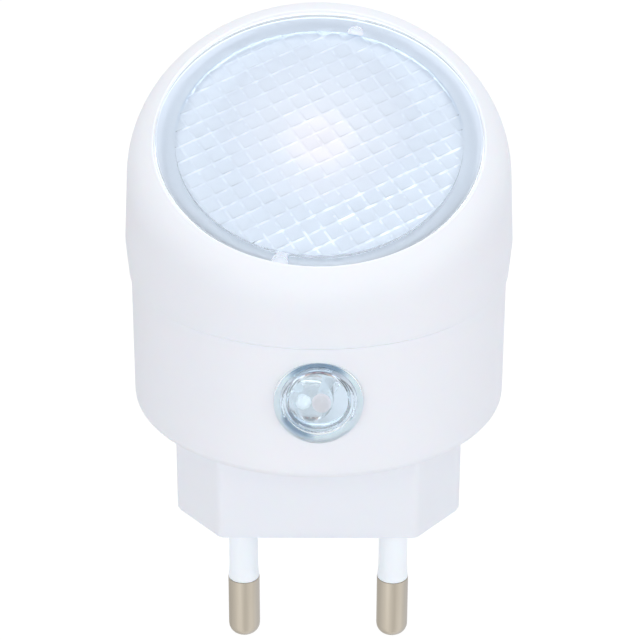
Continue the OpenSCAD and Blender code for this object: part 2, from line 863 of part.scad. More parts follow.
// Height of that ball's centre, where the wall has radius r
function ball_z(a, r) =
    rim_z + ((r - ball_r(a)) * sin(a) * sin(tilt) - ball_r(a)) / cos(tilt);
function ball_centre(a) =
    let (
        guess_z = ball_z(a, head_r),
        r = wall_r(ball_z(a, wall_r(guess_z)))
    )
    [(r - ball_r(a)) * cos(a), (r - ball_r(a)) * sin(a), ball_z(a, r)];
// A point of the rounded rim, from the wall (k = 0) to the rim's plane (k = 1),
// on the form that lies w inside the outer one
function rim_point(a, k, w) =
    let (
        out = [cos(a), sin(a), 0],
        whole = acos(out * rim_normal),
        across = unit(rim_normal - out * cos(whole))
    )
    ball_centre(a) + (ball_r(a) - w) * (out * cos(whole * k) + across * sin(whole * k));
function wall_point(a, z, w) = [(wall_r(z) - w) * cos(a), (wall_r(z) - w) * sin(a), z];

// The head's form, moved in by w: rings of points from height z0 up, joined by triangles
module head_form(w, z0) {
    m = shell_steps;
    angles = [for (i = [0:m - 1]) 360 * i / m];
    below_ball = 0.15;
    rings = concat(
        [
            [for (a = angles) wall_point(a, z0, w)],
            [for (a = angles) wall_point(a, min(crease_z, ball_centre(a).z - below_ball), w)]
        ],
        [for (j = [0:rim_rows]) [for (a = angles) rim_point(a, j / rim_rows, w)]]
    );
    rows = len(rings);
    faces = concat(
        [[for (i = [0:m - 1]) i]],
        [for (j = [0:rows - 2], i = [0:m - 1])
            each [
                [j * m + i, (j + 1) * m + i, (j + 1) * m + (i + 1) % m],
                [j * m + i, (j + 1) * m + (i + 1) % m, j * m + (i + 1) % m]
            ]],
        [[for (i = [m - 1:-1:0]) (rows - 1) * m + i]]
    );
    polyhedron(points = [for (ring = rings) each ring], faces = faces);
}

module head_housing() {
    big = 4 * head_r;
    stop_drop = seam_gap + stop_groove - side_gap;
    color("white") difference() {
        union() {
            difference() {
                head_form(0, head_z);
                // inside of the shell, with the cup that holds the lens left standing in it
                difference() {
                    head_form(head_wall, head_floor_top_z);
                    on_lens(ledge_under_depth) cylinder(r = pocket_r + cup_wall, h = big);
                }
            }
            // stop that runs in the swivel plate's groove
            translate([-stop_w / 2, -stop_at_r - stop_l / 2, head_z - stop_drop])
                cube([stop_w, stop_l, stop_drop + eps]);
        }
        on_lens(ledge_depth) cylinder(r = pocket_r, h = big);
        on_lens(ledge_under_depth + 1) cylinder(r = ledge_in_r, h = big);
        on_lens(ledge_under_depth + 1)
            around(peg_angles, peg_at_r) cylinder(d = peg_d + 4 * fit_gap, h = ledge_t + 2);
        translate([0, 0, head_z - 1])
            cylinder(d = collar_d + 2 * running_gap, h = head_floor + 2);
    }
}

// One groove between two rows of prisms, along X with its open side down at z = 0
module prism_groove() {
    half_w = prism_groove_w / 2;
    dip = 0.1;
    translate([-field_r, 0, 0])
        rotate([90, 0, 90])
            linear_extrude(2 * field_r)
                polygon([
                    [-half_w, -dip],
                    [half_w, -dip],
                    [half_w, 0],
                    [0, prism_groove_h],
                    [-half_w, 0]
                ]);
}

// What the field of square prisms leaves out of the lens's underside
module prism_field_cut() {
    grooves = ceil(field_r / prism_pitch);
    below = 1;
    intersection() {
        union() {
            translate([0, 0, -2 * below]) cylinder(r = lens_r, h = field_in + 2 * below);
            // one row of prisms lies on the centre, and the columns meet on it
            for (i = [-grooves:grooves]) {
                rotate([0, 0, prism_angle])
                    translate([0, (i + 0.5) * prism_pitch, field_in]) prism_groove();
                rotate([0, 0, prism_angle + 90])
                    translate([0, i * prism_pitch, field_in]) prism_groove();
            }
        }
        translate([0, 0, -below]) cylinder(r = field_r, h = lens_t + below);
    }
}

module lens() {
    flat_r = lens_r - bevel_w;
    color("lightblue", 0.6) on_lens(lens_under_depth) {
        difference() {
            rotate_extrude()
                polygon([
                    [0, 0],
                    [lens_r, 0],
                    [lens_r, lens_t - bevel_h],
                    [flat_r, lens_t],
                    [0, lens_t]
                ]);
            prism_field_cut();
        }
        around(peg_angles, peg_at_r)
            translate([0, 0, -peg_len]) cylinder(d = peg_d, h = peg_len + eps);
    }
}

// Depth of the dish at radius r, a parabola
function dish_depth(r) = dish_h * (1 - pow(r / dish_r, 2));

module reflector() {
    steps = 10;
    hole_r = dish_hole_r;
    radii = [for (i = [0:steps]) hole_r + (dish_r - hole_r) * i / steps];
    inner = [for (r = radii) [r, -dish_depth(r)]];
    outer = [for (i = [steps:-1:0])
        [radii[i] + (i == steps ? dish_t : 0), -dish_depth(radii[i]) - dish_t]];
    post_d = small_screw_d + 1.6;
    post_bottom = lamp_board_depth - lens_under_depth;
    // the posts end in the middle of the dish's wall
    mid_wall = concat(
        [[0, 0], [0, -dish_depth(hole_r) - dish_t / 2]],
        [for (p = inner) p - [0, dish_t / 2]],
        [[dish_r, 0]]
    );
    pilot_h = small_screw_l - lamp_board_t + 0.2;
    color("whitesmoke") difference() {
        union() {
            on_lamp(lens_under_depth) rotate_extrude() polygon(concat(inner, outer));
            difference() {
                on_lens(lens_under_depth + flange_t) cylinder(r = flange_r, h = flange_t);
                on_lamp(lens_under_depth + flange_t + eps)
                    cylinder(r = dish_r, h = flange_t + 2 * eps);
            }
            on_lamp(lamp_board_depth) tube(hole_r + dish_t, hole_r, snout_h + dish_t);
            difference() {
                on_lamp(lamp_board_depth)
                    for (side = [-1, 1])
                        translate([side * lamp_screw_at, 0, 0])
                            cylinder(d = post_d, h = post_bottom - 2 * eps);
                on_lamp(lens_under_depth) rotate_extrude() polygon(mid_wall);
            }
        }
        on_lens(lens_under_depth + flange_t + eps)
            around(peg_angles, peg_at_r) cylinder(d = peg_d + 4 * fit_gap, h = flange_t + 1);
        on_lamp(lamp_board_depth + eps)
            for (side = [-1, 1])
                translate([side * lamp_screw_at, 0, 0])
                    cylinder(d = small_screw_d + 2 * fit_gap, h = pilot_h);
        on_lamp(lamp_board_depth + eps) cylinder(r = hole_r, h = post_bottom);
    }
}

module lamp_board() {
    color("white") on_lamp(lamp_board_depth + lamp_board_t) difference() {
        cylinder(d = lamp_board_d, h = lamp_board_t);
        for (side = [-1, 1])
            translate([side * lamp_screw_at, 0, -eps])
                cylinder(d = small_screw_d + 2 * fit_gap, h = lamp_board_t + 1);
        for (side = [-1, 1])
            translate([side * led_leg_pitch / 2, 0, -eps])
                cylinder(d = led_leg_t * sqrt(2) + 2 * fit_gap, h = lamp_board_t + 1);
    }
}

module lamp_board_screws() {
    color("silver")
        on_lamp(lamp_board_depth + lamp_board_t)
            for (side = [-1, 1])
                translate([side * lamp_screw_at, 0, 0])
                    rotate([180, 0, 0])
                        screw(small_screw_d, small_screw_head_d, small_screw_head_h, small_screw_l);
}

// A domed lamp on a foot, its legs trimmed flush with the board's back
module lamp_led() {
    foot_r = led_d / 2 + led_foot_w;
    leg_l = lamp_board_t - fit_gap;
    color("khaki") on_lamp(lamp_board_depth) {
        rotate_extrude()
            polygon(concat(
                [[0, 0], [foot_r, 0], [foot_r, led_foot_h], [led_d / 2, led_foot_h]],
                arc([0, led_h - led_d / 2], led_d / 2, 0, 90, 8)
            ));
        for (side = [-1, 1])
            translate([side * led_leg_pitch / 2 - led_leg_t / 2, -led_leg_t / 2, -leg_l])
                cube([led_leg_t, led_leg_t, leg_l + eps]);
    }
}

module lamp_resistor() {
    chip = [3.2, 1.6, 0.6];
    down_slope = 4;
    color("black")
        on_lamp(lamp_board_depth + lamp_board_t)
            translate([-chip.x / 2, -down_slope - chip.y / 2, -chip.z])
                cube(chip);
}

// ---- Lamp leads ------------------------------------------------------------

wire_sides = 8;
// Where the leads meet the lamp board's back: down the lens's plane, then square to it
wire_down = lens_shift - lamp_shift;
wire_in = lamp_board_depth + lamp_board_t;
wire_end = [
    0,
    -wire_down * cos(tilt) + wire_in * sin(tilt),
    rim_z - wire_down * sin(tilt) - wire_in * cos(tilt)
];
wire_bend = 4;
// Route of one lead in its own plane: straight up, then square onto the lamp board
wire_knee = [0, 0, wire_end.z - wire_bend - 1];
wire_route = concat(
    [[0, 0, board_top_z], [0, 0, board_top_z + (wire_knee.z - board_top_z) / 2], wire_knee],
    [for (k = [0.15:0.1:0.95])
        let (
            p1 = wire_knee + [0, 0, wire_bend * 0.5],
            p2 = wire_end - rim_normal * wire_bend * 0.6
        )
        pow(1 - k, 3) * wire_knee + 3 * pow(1 - k, 2) * k * p1
            + 3 * (1 - k) * k * k * p2 + pow(k, 3) * wire_end],
    [wire_end]
);

// A tube of flat facets along points that lie in one plane square to X
module wire(route, d) {
    n = len(route);
    function along(i) = i == 0 ? [0, 0, 1]
        : i == n - 1 ? rim_normal
        : unit(route[i + 1] - route[i - 1]);
    points = [for (i = [0:n - 1], s = [0:wire_sides - 1])
        let (
            a = 360 * s / wire_sides,
            side = [0, along(i).z, -along(i).y]
        )
        route[i] + d / 2 * (cos(a) * [1, 0, 0] + sin(a) * side)];
    faces = concat(
        [[for (s = [0:wire_sides - 1]) s]],
        [for (i = [0:n - 2], s = [0:wire_sides - 1])
            each [
                [i * wire_sides + s, (i + 1) * wire_sides + s,
                    (i + 1) * wire_sides + (s + 1) % wire_sides],
                [i * wire_sides + s, (i + 1) * wire_sides + (s + 1) % wire_sides,
                    i * wire_sides + (s + 1) % wire_sides]
            ]],
        [[for (s = [wire_sides - 1:-1:0]) (n - 1) * wire_sides + s]]
    );
    polyhedron(points = points, faces = faces);
}

module lamp_leads() {
    color("crimson")
        for (side = [-1, 1])
            translate([side * wire_pitch / 2, 0, 0]) wire(wire_route, wire_d);
}

base_housing();
pin(-1);  // live_pin
pin(1);  // neutral_pin
pin_sleeve(-1);  // live_pin_sleeve
pin_sleeve(1);  // neutral_pin_sleeve
contact_strap(-1);  // live_contact_strap
contact_strap(1);  // neutral_contact_strap
main_board();
board_screws();
film_capacitor();
round_capacitor();
rectifier();
fuse_resistor();
bleed_resistor();
bias_resistor();
switching_transistor();
dusk_sensor();
sensor_window();
swivel_plate();
plate_screws();
friction_ring();
keeper_ring();
keeper_screws();
lamp_leads();
head_housing();
lens();
reflector();
lamp_board();
lamp_board_screws();
lamp_led();
lamp_resistor();
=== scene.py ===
"""The look of a plug-in night light: white moulded shells, a clear lens with a field of small
prisms lit from behind, a clear sensor window and the parts that show through them.
Lengths are millimetres until they become a mesh, which is in metres like the frame."""

import json
import math
import random

import bmesh
import bpy
from mathutils import Matrix, Vector

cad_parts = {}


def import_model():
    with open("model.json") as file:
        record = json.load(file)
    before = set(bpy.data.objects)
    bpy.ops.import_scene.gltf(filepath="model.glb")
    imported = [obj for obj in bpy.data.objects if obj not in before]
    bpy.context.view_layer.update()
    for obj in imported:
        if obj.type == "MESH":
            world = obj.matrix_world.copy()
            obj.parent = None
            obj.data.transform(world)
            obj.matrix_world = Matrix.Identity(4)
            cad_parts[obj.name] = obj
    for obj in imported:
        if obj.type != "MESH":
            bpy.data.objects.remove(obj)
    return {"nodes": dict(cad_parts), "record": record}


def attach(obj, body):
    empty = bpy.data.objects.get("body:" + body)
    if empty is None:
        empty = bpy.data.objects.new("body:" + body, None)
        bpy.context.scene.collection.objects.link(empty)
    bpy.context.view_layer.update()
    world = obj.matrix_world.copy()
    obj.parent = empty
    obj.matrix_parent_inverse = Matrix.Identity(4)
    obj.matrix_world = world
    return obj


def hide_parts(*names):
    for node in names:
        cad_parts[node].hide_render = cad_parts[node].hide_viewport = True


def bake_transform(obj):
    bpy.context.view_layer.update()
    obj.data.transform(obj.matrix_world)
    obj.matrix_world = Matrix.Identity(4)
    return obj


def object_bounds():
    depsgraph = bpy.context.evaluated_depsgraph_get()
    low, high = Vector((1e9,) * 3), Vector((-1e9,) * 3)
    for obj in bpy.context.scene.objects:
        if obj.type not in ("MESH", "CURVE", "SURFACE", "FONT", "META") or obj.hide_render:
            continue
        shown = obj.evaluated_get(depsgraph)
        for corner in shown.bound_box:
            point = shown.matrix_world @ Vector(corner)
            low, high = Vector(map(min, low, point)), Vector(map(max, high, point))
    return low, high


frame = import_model()
cad_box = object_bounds()

MM = 0.001
IMAGE_PX = 640

# ---- Sizes that the dressed pieces share with the frame, in millimetres ------------------

BLOCK_H = 16.1
SEAM_Z = 33.1
HEAD_Z = 33.25
SKIRT_R = 22.75
HEAD_R = 23.1
HEAD_TOP_R = 22.2
CREASE_Z = 37.5
RIM_Z = 54.2
TILT = math.radians(28.8)
RIM_FRONT_R = 6.7
RIM_BACK_R = 7.9
HEAD_WALL = 1.7
HEAD_FLOOR_TOP = 35.05
COLLAR_BORE_R = 9.05

# The dressed shell lies SKIN inside the solid's, and faces that rest on another piece stand
# off it by LIFT
SKIN = 0.005
LIFT = 0.03

LENS_R = 19.0
LENS_SHIFT = 4.5
LENS_SINK = 0.6
LENS_BEVEL_H = 0.3
LENS_BEVEL_W = 1.3
LENS_T = 2.2
POCKET_R = 19.1
LEDGE_DEPTH = 3.6
LEDGE_UNDER = 5.1
LEDGE_IN_R = 16.1

PRISM_PITCH = 2.06
PRISM_TURN = math.radians(30.5)

WINDOW_Z = 26.3
WINDOW_SEAT_Y = -21.88
WINDOW_R = 5.1
BOARD_TOP_Z = 21.7

AXIS = Vector((0, -math.sin(TILT), math.cos(TILT)))
LENS_FRAME = (
    Matrix.Translation((0, 0, RIM_Z))
    @ Matrix.Rotation(TILT, 4, "X")
    @ Matrix.Translation((0, -LENS_SHIFT, 0))
)
LENS_CENTRE = LENS_FRAME.to_translation()
LAMP_UP = 3.2
LAMP_DEPTH = 4.6
LAMP_CENTRE = LENS_FRAME @ Vector((0, LAMP_UP, -LAMP_DEPTH))


# ---- Mesh helpers ------------------------------------------------------------------------


def mesh_object(name, points, faces, smooth_deg=35, matrix=None, marks=None):
    """An object from points in millimetres, shaded smooth but for edges over smooth_deg.
    marks gives each face's place in the list of materials."""
    place = matrix or Matrix.Identity(4)
    mesh = bpy.data.meshes.new(name)
    mesh.from_pydata([(place @ Vector(p)) * MM for p in points], [], faces)
    if marks:
        mesh.polygons.foreach_set("material_index", marks)
    obj = bpy.data.objects.new(name, mesh)
    bpy.context.scene.collection.objects.link(obj)
    tidy(obj, smooth_deg)
    return obj


def tidy(obj, smooth_deg=35):
    """Outward normals and smooth shading with sharp edges kept."""
    merge_mm = 0.0005
    bm = bmesh.new()
    bm.from_mesh(obj.data)
    bmesh.ops.remove_doubles(bm, verts=bm.verts, dist=merge_mm * MM)
    bmesh.ops.recalc_face_normals(bm, faces=bm.faces)
    bm.to_mesh(obj.data)
    bm.free()
    for polygon in obj.data.polygons:
        polygon.use_smooth = True
    obj.data.set_sharp_from_angle(angle=math.radians(smooth_deg))


def ring_faces(rows, count, closed_rows=False):
    """Quads between rows of count points each, which go round. closed_rows also joins the last
    row to the first."""
    faces = []
    last = rows if closed_rows else rows - 1
    for j in range(last):
        low, high = j * count, (j + 1) % rows * count
        for i in range(count):
            k = (i + 1) % count
            faces.append((low + i, low + k, high + k, high + i))
    return faces


def revolve(name, profile, steps=128, smooth_deg=35, matrix=None):
    """A closed solid of revolution about local Z; the profile starts and ends on the axis."""
    inner = profile[1:-1]
    points = [
        (r * math.cos(2 * math.pi * i / steps), r * math.sin(2 * math.pi * i / steps), z)
        for r, z in inner
        for i in range(steps)
    ]
    faces = ring_faces(len(inner), steps)
    for end, row in ((profile[0], 0), (profile[-1], len(inner) - 1)):
        points.append((0, 0, end[1]))
        tip = len(points) - 1
        faces += [(tip, row * steps + i, row * steps + (i + 1) % steps) for i in range(steps)]
    return mesh_object(name, points, faces, smooth_deg, matrix)


def arc(centre, radius, start, end, steps):
    """Points of a circular arc in a profile, angles in degrees."""
    found = []
    for i in range(steps + 1):
        a = math.radians(start + (end - start) * i / steps)
        found.append((centre[0] + radius * math.cos(a), centre[1] + radius * math.sin(a)))
    return found


def cut(obj, other, operation):
    """obj after a boolean with other, which is used up."""
    modifier = obj.modifiers.new("cut", "BOOLEAN")
    modifier.operation = operation
    modifier.solver = "EXACT"
    modifier.object = other
    bpy.context.view_layer.objects.active = obj
    bpy.ops.object.modifier_apply(modifier=modifier.name)
    bpy.data.objects.remove(other)
    return obj


def wires(name, routes, radius, sides=16, smooth_deg=50):
    """Round wires along routes in millimetres, with flat ends, as one object."""
    points = []
    faces = []
    for route in routes:
        first = len(points)
        rows = len(route)
        side = Vector((1, 0, 0))
        for i, p in enumerate(route):
            ahead = Vector(route[min(i + 1, rows - 1)]) - Vector(route[max(i - 1, 0)])
            ahead.normalize()
            side = (side - ahead * side.dot(ahead)).normalized()
            up = ahead.cross(side)
            for s in range(sides):
                a = 2 * math.pi * s / sides
                points.append(Vector(p) + radius * (math.cos(a) * side + math.sin(a) * up))
        faces += [tuple(first + k for k in face) for face in ring_faces(rows, sides)]
        faces.append(tuple(first + s for s in range(sides)))
        faces.append(tuple(first + (rows - 1) * sides + s for s in range(sides)))
    return mesh_object(name, points, faces, smooth_deg)


# ---- Materials ---------------------------------------------------------------------------


def linear(r, g, b):
    """Scene-linear colour from 8-bit display values."""

    def one(c):
        c /= 255
        return c / 12.92 if c <= 0.04045 else ((c + 0.055) / 1.055) ** 2.4

    return (one(r), one(g), one(b), 1)


class Nodes:
    """Short calls to add nodes to a tree. A value may be a number, a colour, a vector or
    the output of another node."""

    def __init__(self, tree):
        self.tree = tree

    def put(self, value, socket):
        if isinstance(value, bpy.types.NodeSocket):
            self.tree.links.new(value, socket)
        else:
            socket.default_value = value

    def node(self, kind, **inputs):
        node = self.tree.nodes.new("ShaderNode" + kind)
        for socket, value in inputs.items():
            self.put(value, node.inputs[socket.replace("_", " ")])
        return node

    def maths(self, operation, *values, kind="Math"):
        node = self.node(kind)
        node.operation = operation
        for value, socket in zip(values, node.inputs):
            self.put(value, socket)
        return node

    def result(self, operation, *values):
        """A maths operation on one number or two, or on more one after the other."""
        total = self.maths(operation, *values[:2]).outputs[0]
        for value in values[2:]:
            total = self.maths(operation, total, value).outputs[0]
        return total

    def distance(self, vector, origin=(0, 0, 0)):
        return self.maths("DISTANCE", vector, origin, kind="VectorMath").outputs["Value"]

    def split(self, vector):
        return self.node("SeparateXYZ", Vector=vector).outputs

    def graded(self, value, start, end, low=0, high=1, smooth=False):
        """From low where value is at start to high where it is at end."""
        node = self.node(
            "MapRange", Value=value, From_Min=start, From_Max=end, To_Min=low, To_Max=high
        )
        if smooth:
            node.interpolation_type = "SMOOTHSTEP"
        return node.outputs["Result"]

    def between(self, value, limits, low=0, high=1, smooth=False):
        """The same with both limits in millimetres."""
        start, end = limits
        return self.graded(value, start * MM, end * MM, low, high, smooth)

    def mix_shaders(self, share, first, second):
        node = self.node("MixShader")
        for value, socket in zip((share, first, second), node.inputs):
            self.put(value, socket)
        return node.outputs[0]

    def mix_colours(self, share, first, second):
        node = self.node("Mix")
        node.data_type = "RGBA"
        for value, index in ((share, 0), (first, 6), (second, 7)):
            self.put(value, node.inputs[index])
        return node.outputs[2]

    def seen_rays(self):
        """1 for rays that are seen, mirrored or seen through, and 0 for those that only light."""
        path = self.node("LightPath").outputs
        return self.result(
            "MAXIMUM", path["Is Camera Ray"], path["Is Glossy Ray"], path["Is Transmission Ray"]
        )


class Paint(Nodes):
    """A material with one Principled shader."""

    def __init__(self, name, colour, **sockets):
        self.material = bpy.data.materials.new(name)
        self.material.use_nodes = True
        super().__init__(self.material.node_tree)
        self.shader = self.tree.nodes["Principled BSDF"]
        self.coords = self.node("TexCoord").outputs["Object"]
        self.colour = colour
        self.set(Base_Color=colour, **sockets)

    def set(self, **sockets):
        for socket, value in sockets.items():
            self.put(value, self.shader.inputs[socket.replace("_", " ")])
        return self

    def noise(self, per_mm, detail=3, stretch=(1, 1, 1)):
        """Noise of about per_mm grains a millimetre."""
        place = self.node("Mapping", Vector=self.coords, Scale=stretch).outputs["Vector"]
        noise = self.node("TexNoise", Vector=place, Scale=per_mm / MM, Detail=detail)
        return noise.outputs["Fac"]

    def lens_place(self):
        """Coordinates along the lens's axis, with its centre at their origin."""
        place = self.node(
            "Mapping", Vector=self.coords, Location=LENS_CENTRE * MM, Rotation=(TILT, 0, 0)
        )
        place.vector_type = "TEXTURE"
        return place.outputs["Vector"]

    def from_lens_axis(self, up=0):
        """Distance from the lens's axis, or from the line up millimetres up the slope."""
        flat = self.node(
            "Mapping", Vector=self.lens_place(), Location=(0, -up * MM, 0), Scale=(1, 1, 0)
        )
        return self.distance(flat.outputs["Vector"])

    def from_swivel_axis(self):
        flat = self.node("Mapping", Vector=self.coords, Scale=(1, 1, 0))
        return self.distance(flat.outputs["Vector"])

    def window_place(self):
        """Coordinates across the sensor window, with its axis at their origin."""
        moved = self.node(
            "Mapping", Vector=self.coords, Location=(0, 0, -WINDOW_Z * MM), Scale=(1, 0, 1)
        )
        return moved.outputs["Vector"]

    def bump(self, height, depth_mm, strength=1.0):
        bump = self.node("Bump", Height=height, Strength=strength, Distance=depth_mm * MM)
        return self.set(Normal=bump.outputs["Normal"])

    def vary_colour(self, share, other):
        return self.set(Base_Color=self.mix_colours(share, self.colour, other))

    def vary_roughness(self, share, low, high):
        return self.set(Roughness=self.graded(share, 0, 1, low, high))


# Strength of the painted light on the shells, drawn as a glow of their own: the lamp's light on
# their inside, as no light of the scene shines from inside, and light in the seam, on the lens's
# lip and in the window's seat, which the gap and the glass keep the lamps from lighting
INNER_GLOW = 0.7
SEAT_GLOW = 0.18
TOP_FACE_GLOW = 0.08
HEAD_FOOT_GLOW = 0.06
LIP_GLOW = 0.1
SHELL_FRONT_GLOW = 0.42
SHELL_BACK_GLOW = 0.5
# The share of it that is left down in the seam, and its colour
SEAM_DIMMING = 0.2
SHELL_LIT = linear(236, 242, 250)

CLEAR_IOR = 1.49


def shell_white(name, colour=linear(246, 248, 254), glow=0.0):
    """Satin white moulded plastic: a very fine spark-eroded skin and a hint of depth.
    glow is painted light on it. Gives the paint back, so that more can be added."""
    paint = Paint(
        name,
        colour,
        Roughness=0.38,
        Specular_IOR_Level=0.45,
        Subsurface_Weight=0.12,
        Subsurface_Scale=0.0015,
        Emission_Color=SHELL_LIT,
        Emission_Strength=glow,
    )
    paint.vary_colour(paint.noise(0.05), linear(242, 246, 253))
    paint.vary_roughness(paint.noise(0.4), 0.34, 0.42)
    return paint.bump(paint.noise(9), 0.004, 0.25)


def head_white():
    """The shells' white, with painted light on the lip round the lens and on the foot at the
    seam.
    """
    foot_z = (HEAD_Z + 0.11, HEAD_Z + 0.02)
    lip_r = (POCKET_R + 0.36, POCKET_R + 0.18)
    lip_depth = 5
    paint = shell_white("shell")
    foot = paint.between(paint.split(paint.coords)["Z"], foot_z, high=HEAD_FOOT_GLOW)
    ring = paint.between(paint.from_lens_axis(), lip_r, high=LIP_GLOW)
    above = paint.result("GREATER_THAN", paint.split(paint.lens_place())["Z"], -lip_depth * MM)
    lip = paint.result("MULTIPLY", ring, above)
    return paint.set(Emission_Strength=paint.result("MAXIMUM", foot, lip)).material


def shell_inside():
    """The head shell's inside: brighter up the slope than down it, and dim in the seam."""
    front_to_back = (-10, 12)
    seam_z = (HEAD_Z + 0.01, HEAD_Z + 0.1)
    paint = shell_white("shell_inside")
    place = paint.split(paint.coords)
    glow = paint.result(
        "MULTIPLY",
        paint.between(place["Y"], front_to_back, SHELL_FRONT_GLOW, SHELL_BACK_GLOW),
        paint.between(place["Z"], seam_z, SEAM_DIMMING),
    )
    return paint.set(Emission_Strength=glow).material


def base_white():
    """The shells' white, lit on the base's inside, in the window's seat and at the seam."""
    # the glow starts within the wall's thickness, so only its inner face is lit
    middle_r = 21.3
    wall_fade = 0.3
    floor_z = BLOCK_H + 0.6
    seat_r = (WINDOW_R + 0.03, WINDOW_R - 0.03)
    top_z = SEAM_Z - 0.004
    paint = shell_white("body_white")
    place = paint.split(paint.coords)
    away = paint.from_swivel_axis()
    wall = paint.between(away, (middle_r, middle_r - wall_fade), high=INNER_GLOW)
    seat = paint.between(paint.distance(paint.window_place()), seat_r, high=SEAT_GLOW)
    above = paint.result("GREATER_THAN", place["Z"], floor_z * MM)
    in_front = paint.result("LESS_THAN", place["Y"], 0)
    top_face = paint.result("GREATER_THAN", place["Z"], top_z * MM)
    glow = paint.result(
        "MAXIMUM",
        paint.result("MULTIPLY", wall, above),
        paint.result("MULTIPLY", seat, in_front),
        paint.result("MULTIPLY", top_face, TOP_FACE_GLOW),
    )
    return paint.set(Emission_Strength=glow).material


def nickel():
    """Nickel-plated pin, turned: it smears light along the pin and not round it."""
    paint = Paint(
        "pin_nickel", linear(206, 198, 184), Metallic=1.0, Roughness=0.32, Anisotropic=0.75
    )
    tangent = paint.node("Tangent")
    tangent.direction_type = "RADIAL"
    tangent.axis = "Z"
    paint.set(Tangent=tangent.outputs[0])
    paint.vary_colour(paint.noise(1.1, 2, (1, 1, 0.06)), linear(184, 174, 158))
    paint.vary_roughness(paint.noise(2, 2, (1, 1, 0.1)), 0.26, 0.38)
    return paint.bump(paint.noise(1.5, 4, (0.1, 0.1, 8)), 0.006, 0.3).material


def metal(name, colour, other, rough):
    paint = Paint(name, linear(*colour), Metallic=1.0, Roughness=rough)
    paint.vary_colour(paint.noise(0.8), linear(*other))
    paint.vary_roughness(paint.noise(3), rough * 0.8, rough * 1.25)
    return paint.bump(paint.noise(12), 0.003, 0.3).material


def moulded(name, colour, other, rough, glow=0.0):
    """Plain moulded or lacquered stuff; glow is the light on it inside the lit base."""
    paint = Paint(
        name,
        linear(*colour),
        Roughness=rough,
        Emission_Color=SHELL_LIT,
        Emission_Strength=glow,
    )
    paint.vary_colour(paint.noise(0.5), linear(*other))
    paint.vary_roughness(paint.noise(2), rough * 0.85, min(1, rough * 1.15))
    return paint.bump(paint.noise(6), 0.006, 0.4).material


def sensor_clear():
    """The sensor's clear case, a little milky."""
    rough = 0.07
    paint = Paint(
        "sensor_clear",
        linear(248, 249, 249),
        Roughness=rough,
        IOR=CLEAR_IOR,
        Transmission_Weight=0.86,
    )
    paint.vary_roughness(paint.noise(0.6), rough * 0.7, rough * 1.4)
    return paint.bump(paint.noise(0.8), 0.004, 0.3).material


# Painted shade in the window: dark crescents that stand for the dark inside, which its clear
# border refracts. The middle's direction and half the width in degrees, and where they start and
# end, in millimetres from the axis
SHADE_CRESCENTS = ((92, 52, 3.7, 5.3), (-128, 36, 3.8, 4.75))


def window_clear():
    """The sensor window: clear plastic, with painted shade: slate-blue crescents in its thick
    border.
    """
    start_fade, end_fade = 0.25, 0.2
    paint = Paint(
        "window_clear",
        linear(240, 248, 251),
        Roughness=0.03,
        IOR=CLEAR_IOR,
        Transmission_Weight=1.0,
    )
    away = paint.distance(paint.window_place())
    place = paint.split(paint.window_place())
    turn = paint.result("ARCTAN2", place["Z"], place["X"])
    crescents = []
    for middle, half, start, end in SHADE_CRESCENTS:
        off = paint.result("SUBTRACT", turn, math.radians(middle))
        size = paint.result("ABSOLUTE", off)
        crescents.append(
            paint.result(
                "MULTIPLY",
                paint.graded(size, math.radians(half), math.radians(half / 2), smooth=True),
                paint.between(away, (start, start + start_fade)),
                paint.between(away, (end, end - end_fade)),
            )
        )
    # painted shade: the crescents darken the base colour
    paint.vary_colour(paint.result("MAXIMUM", *crescents), linear(172, 192, 208))
    return paint.bump(paint.noise(0.8), 0.004, 0.3).material


# Where the lens's finish changes, in millimetres: R from its axis, Y up the slope from its
# centre and Z up from the rim's plane
UNDERSIDE_Z = (-1.2, -1.7)
SOFTEST_R = (5, 9)
FIELD_EDGE_IN_R = (16.45, 16.6)
FIELD_EDGE_OUT_R = (17.05, 16.85)
FIELD_EDGE_Z = (-2.0, -2.2)
UPPER_HALF_Y = (0, 7)
PEGS_Z = (-2.85, -3.0)
DASHES_R = (16.6, 16.2)
LENS_EDGE_R = (LENS_R - 0.22, LENS_R - 0.04)
LENS_EDGE_Y = (2, 10)

POLISHED, SOFT, SOFTEST = 0.03, 0.3, 0.55
LENS_EDGE_GLOW = (0.22, 0.34)


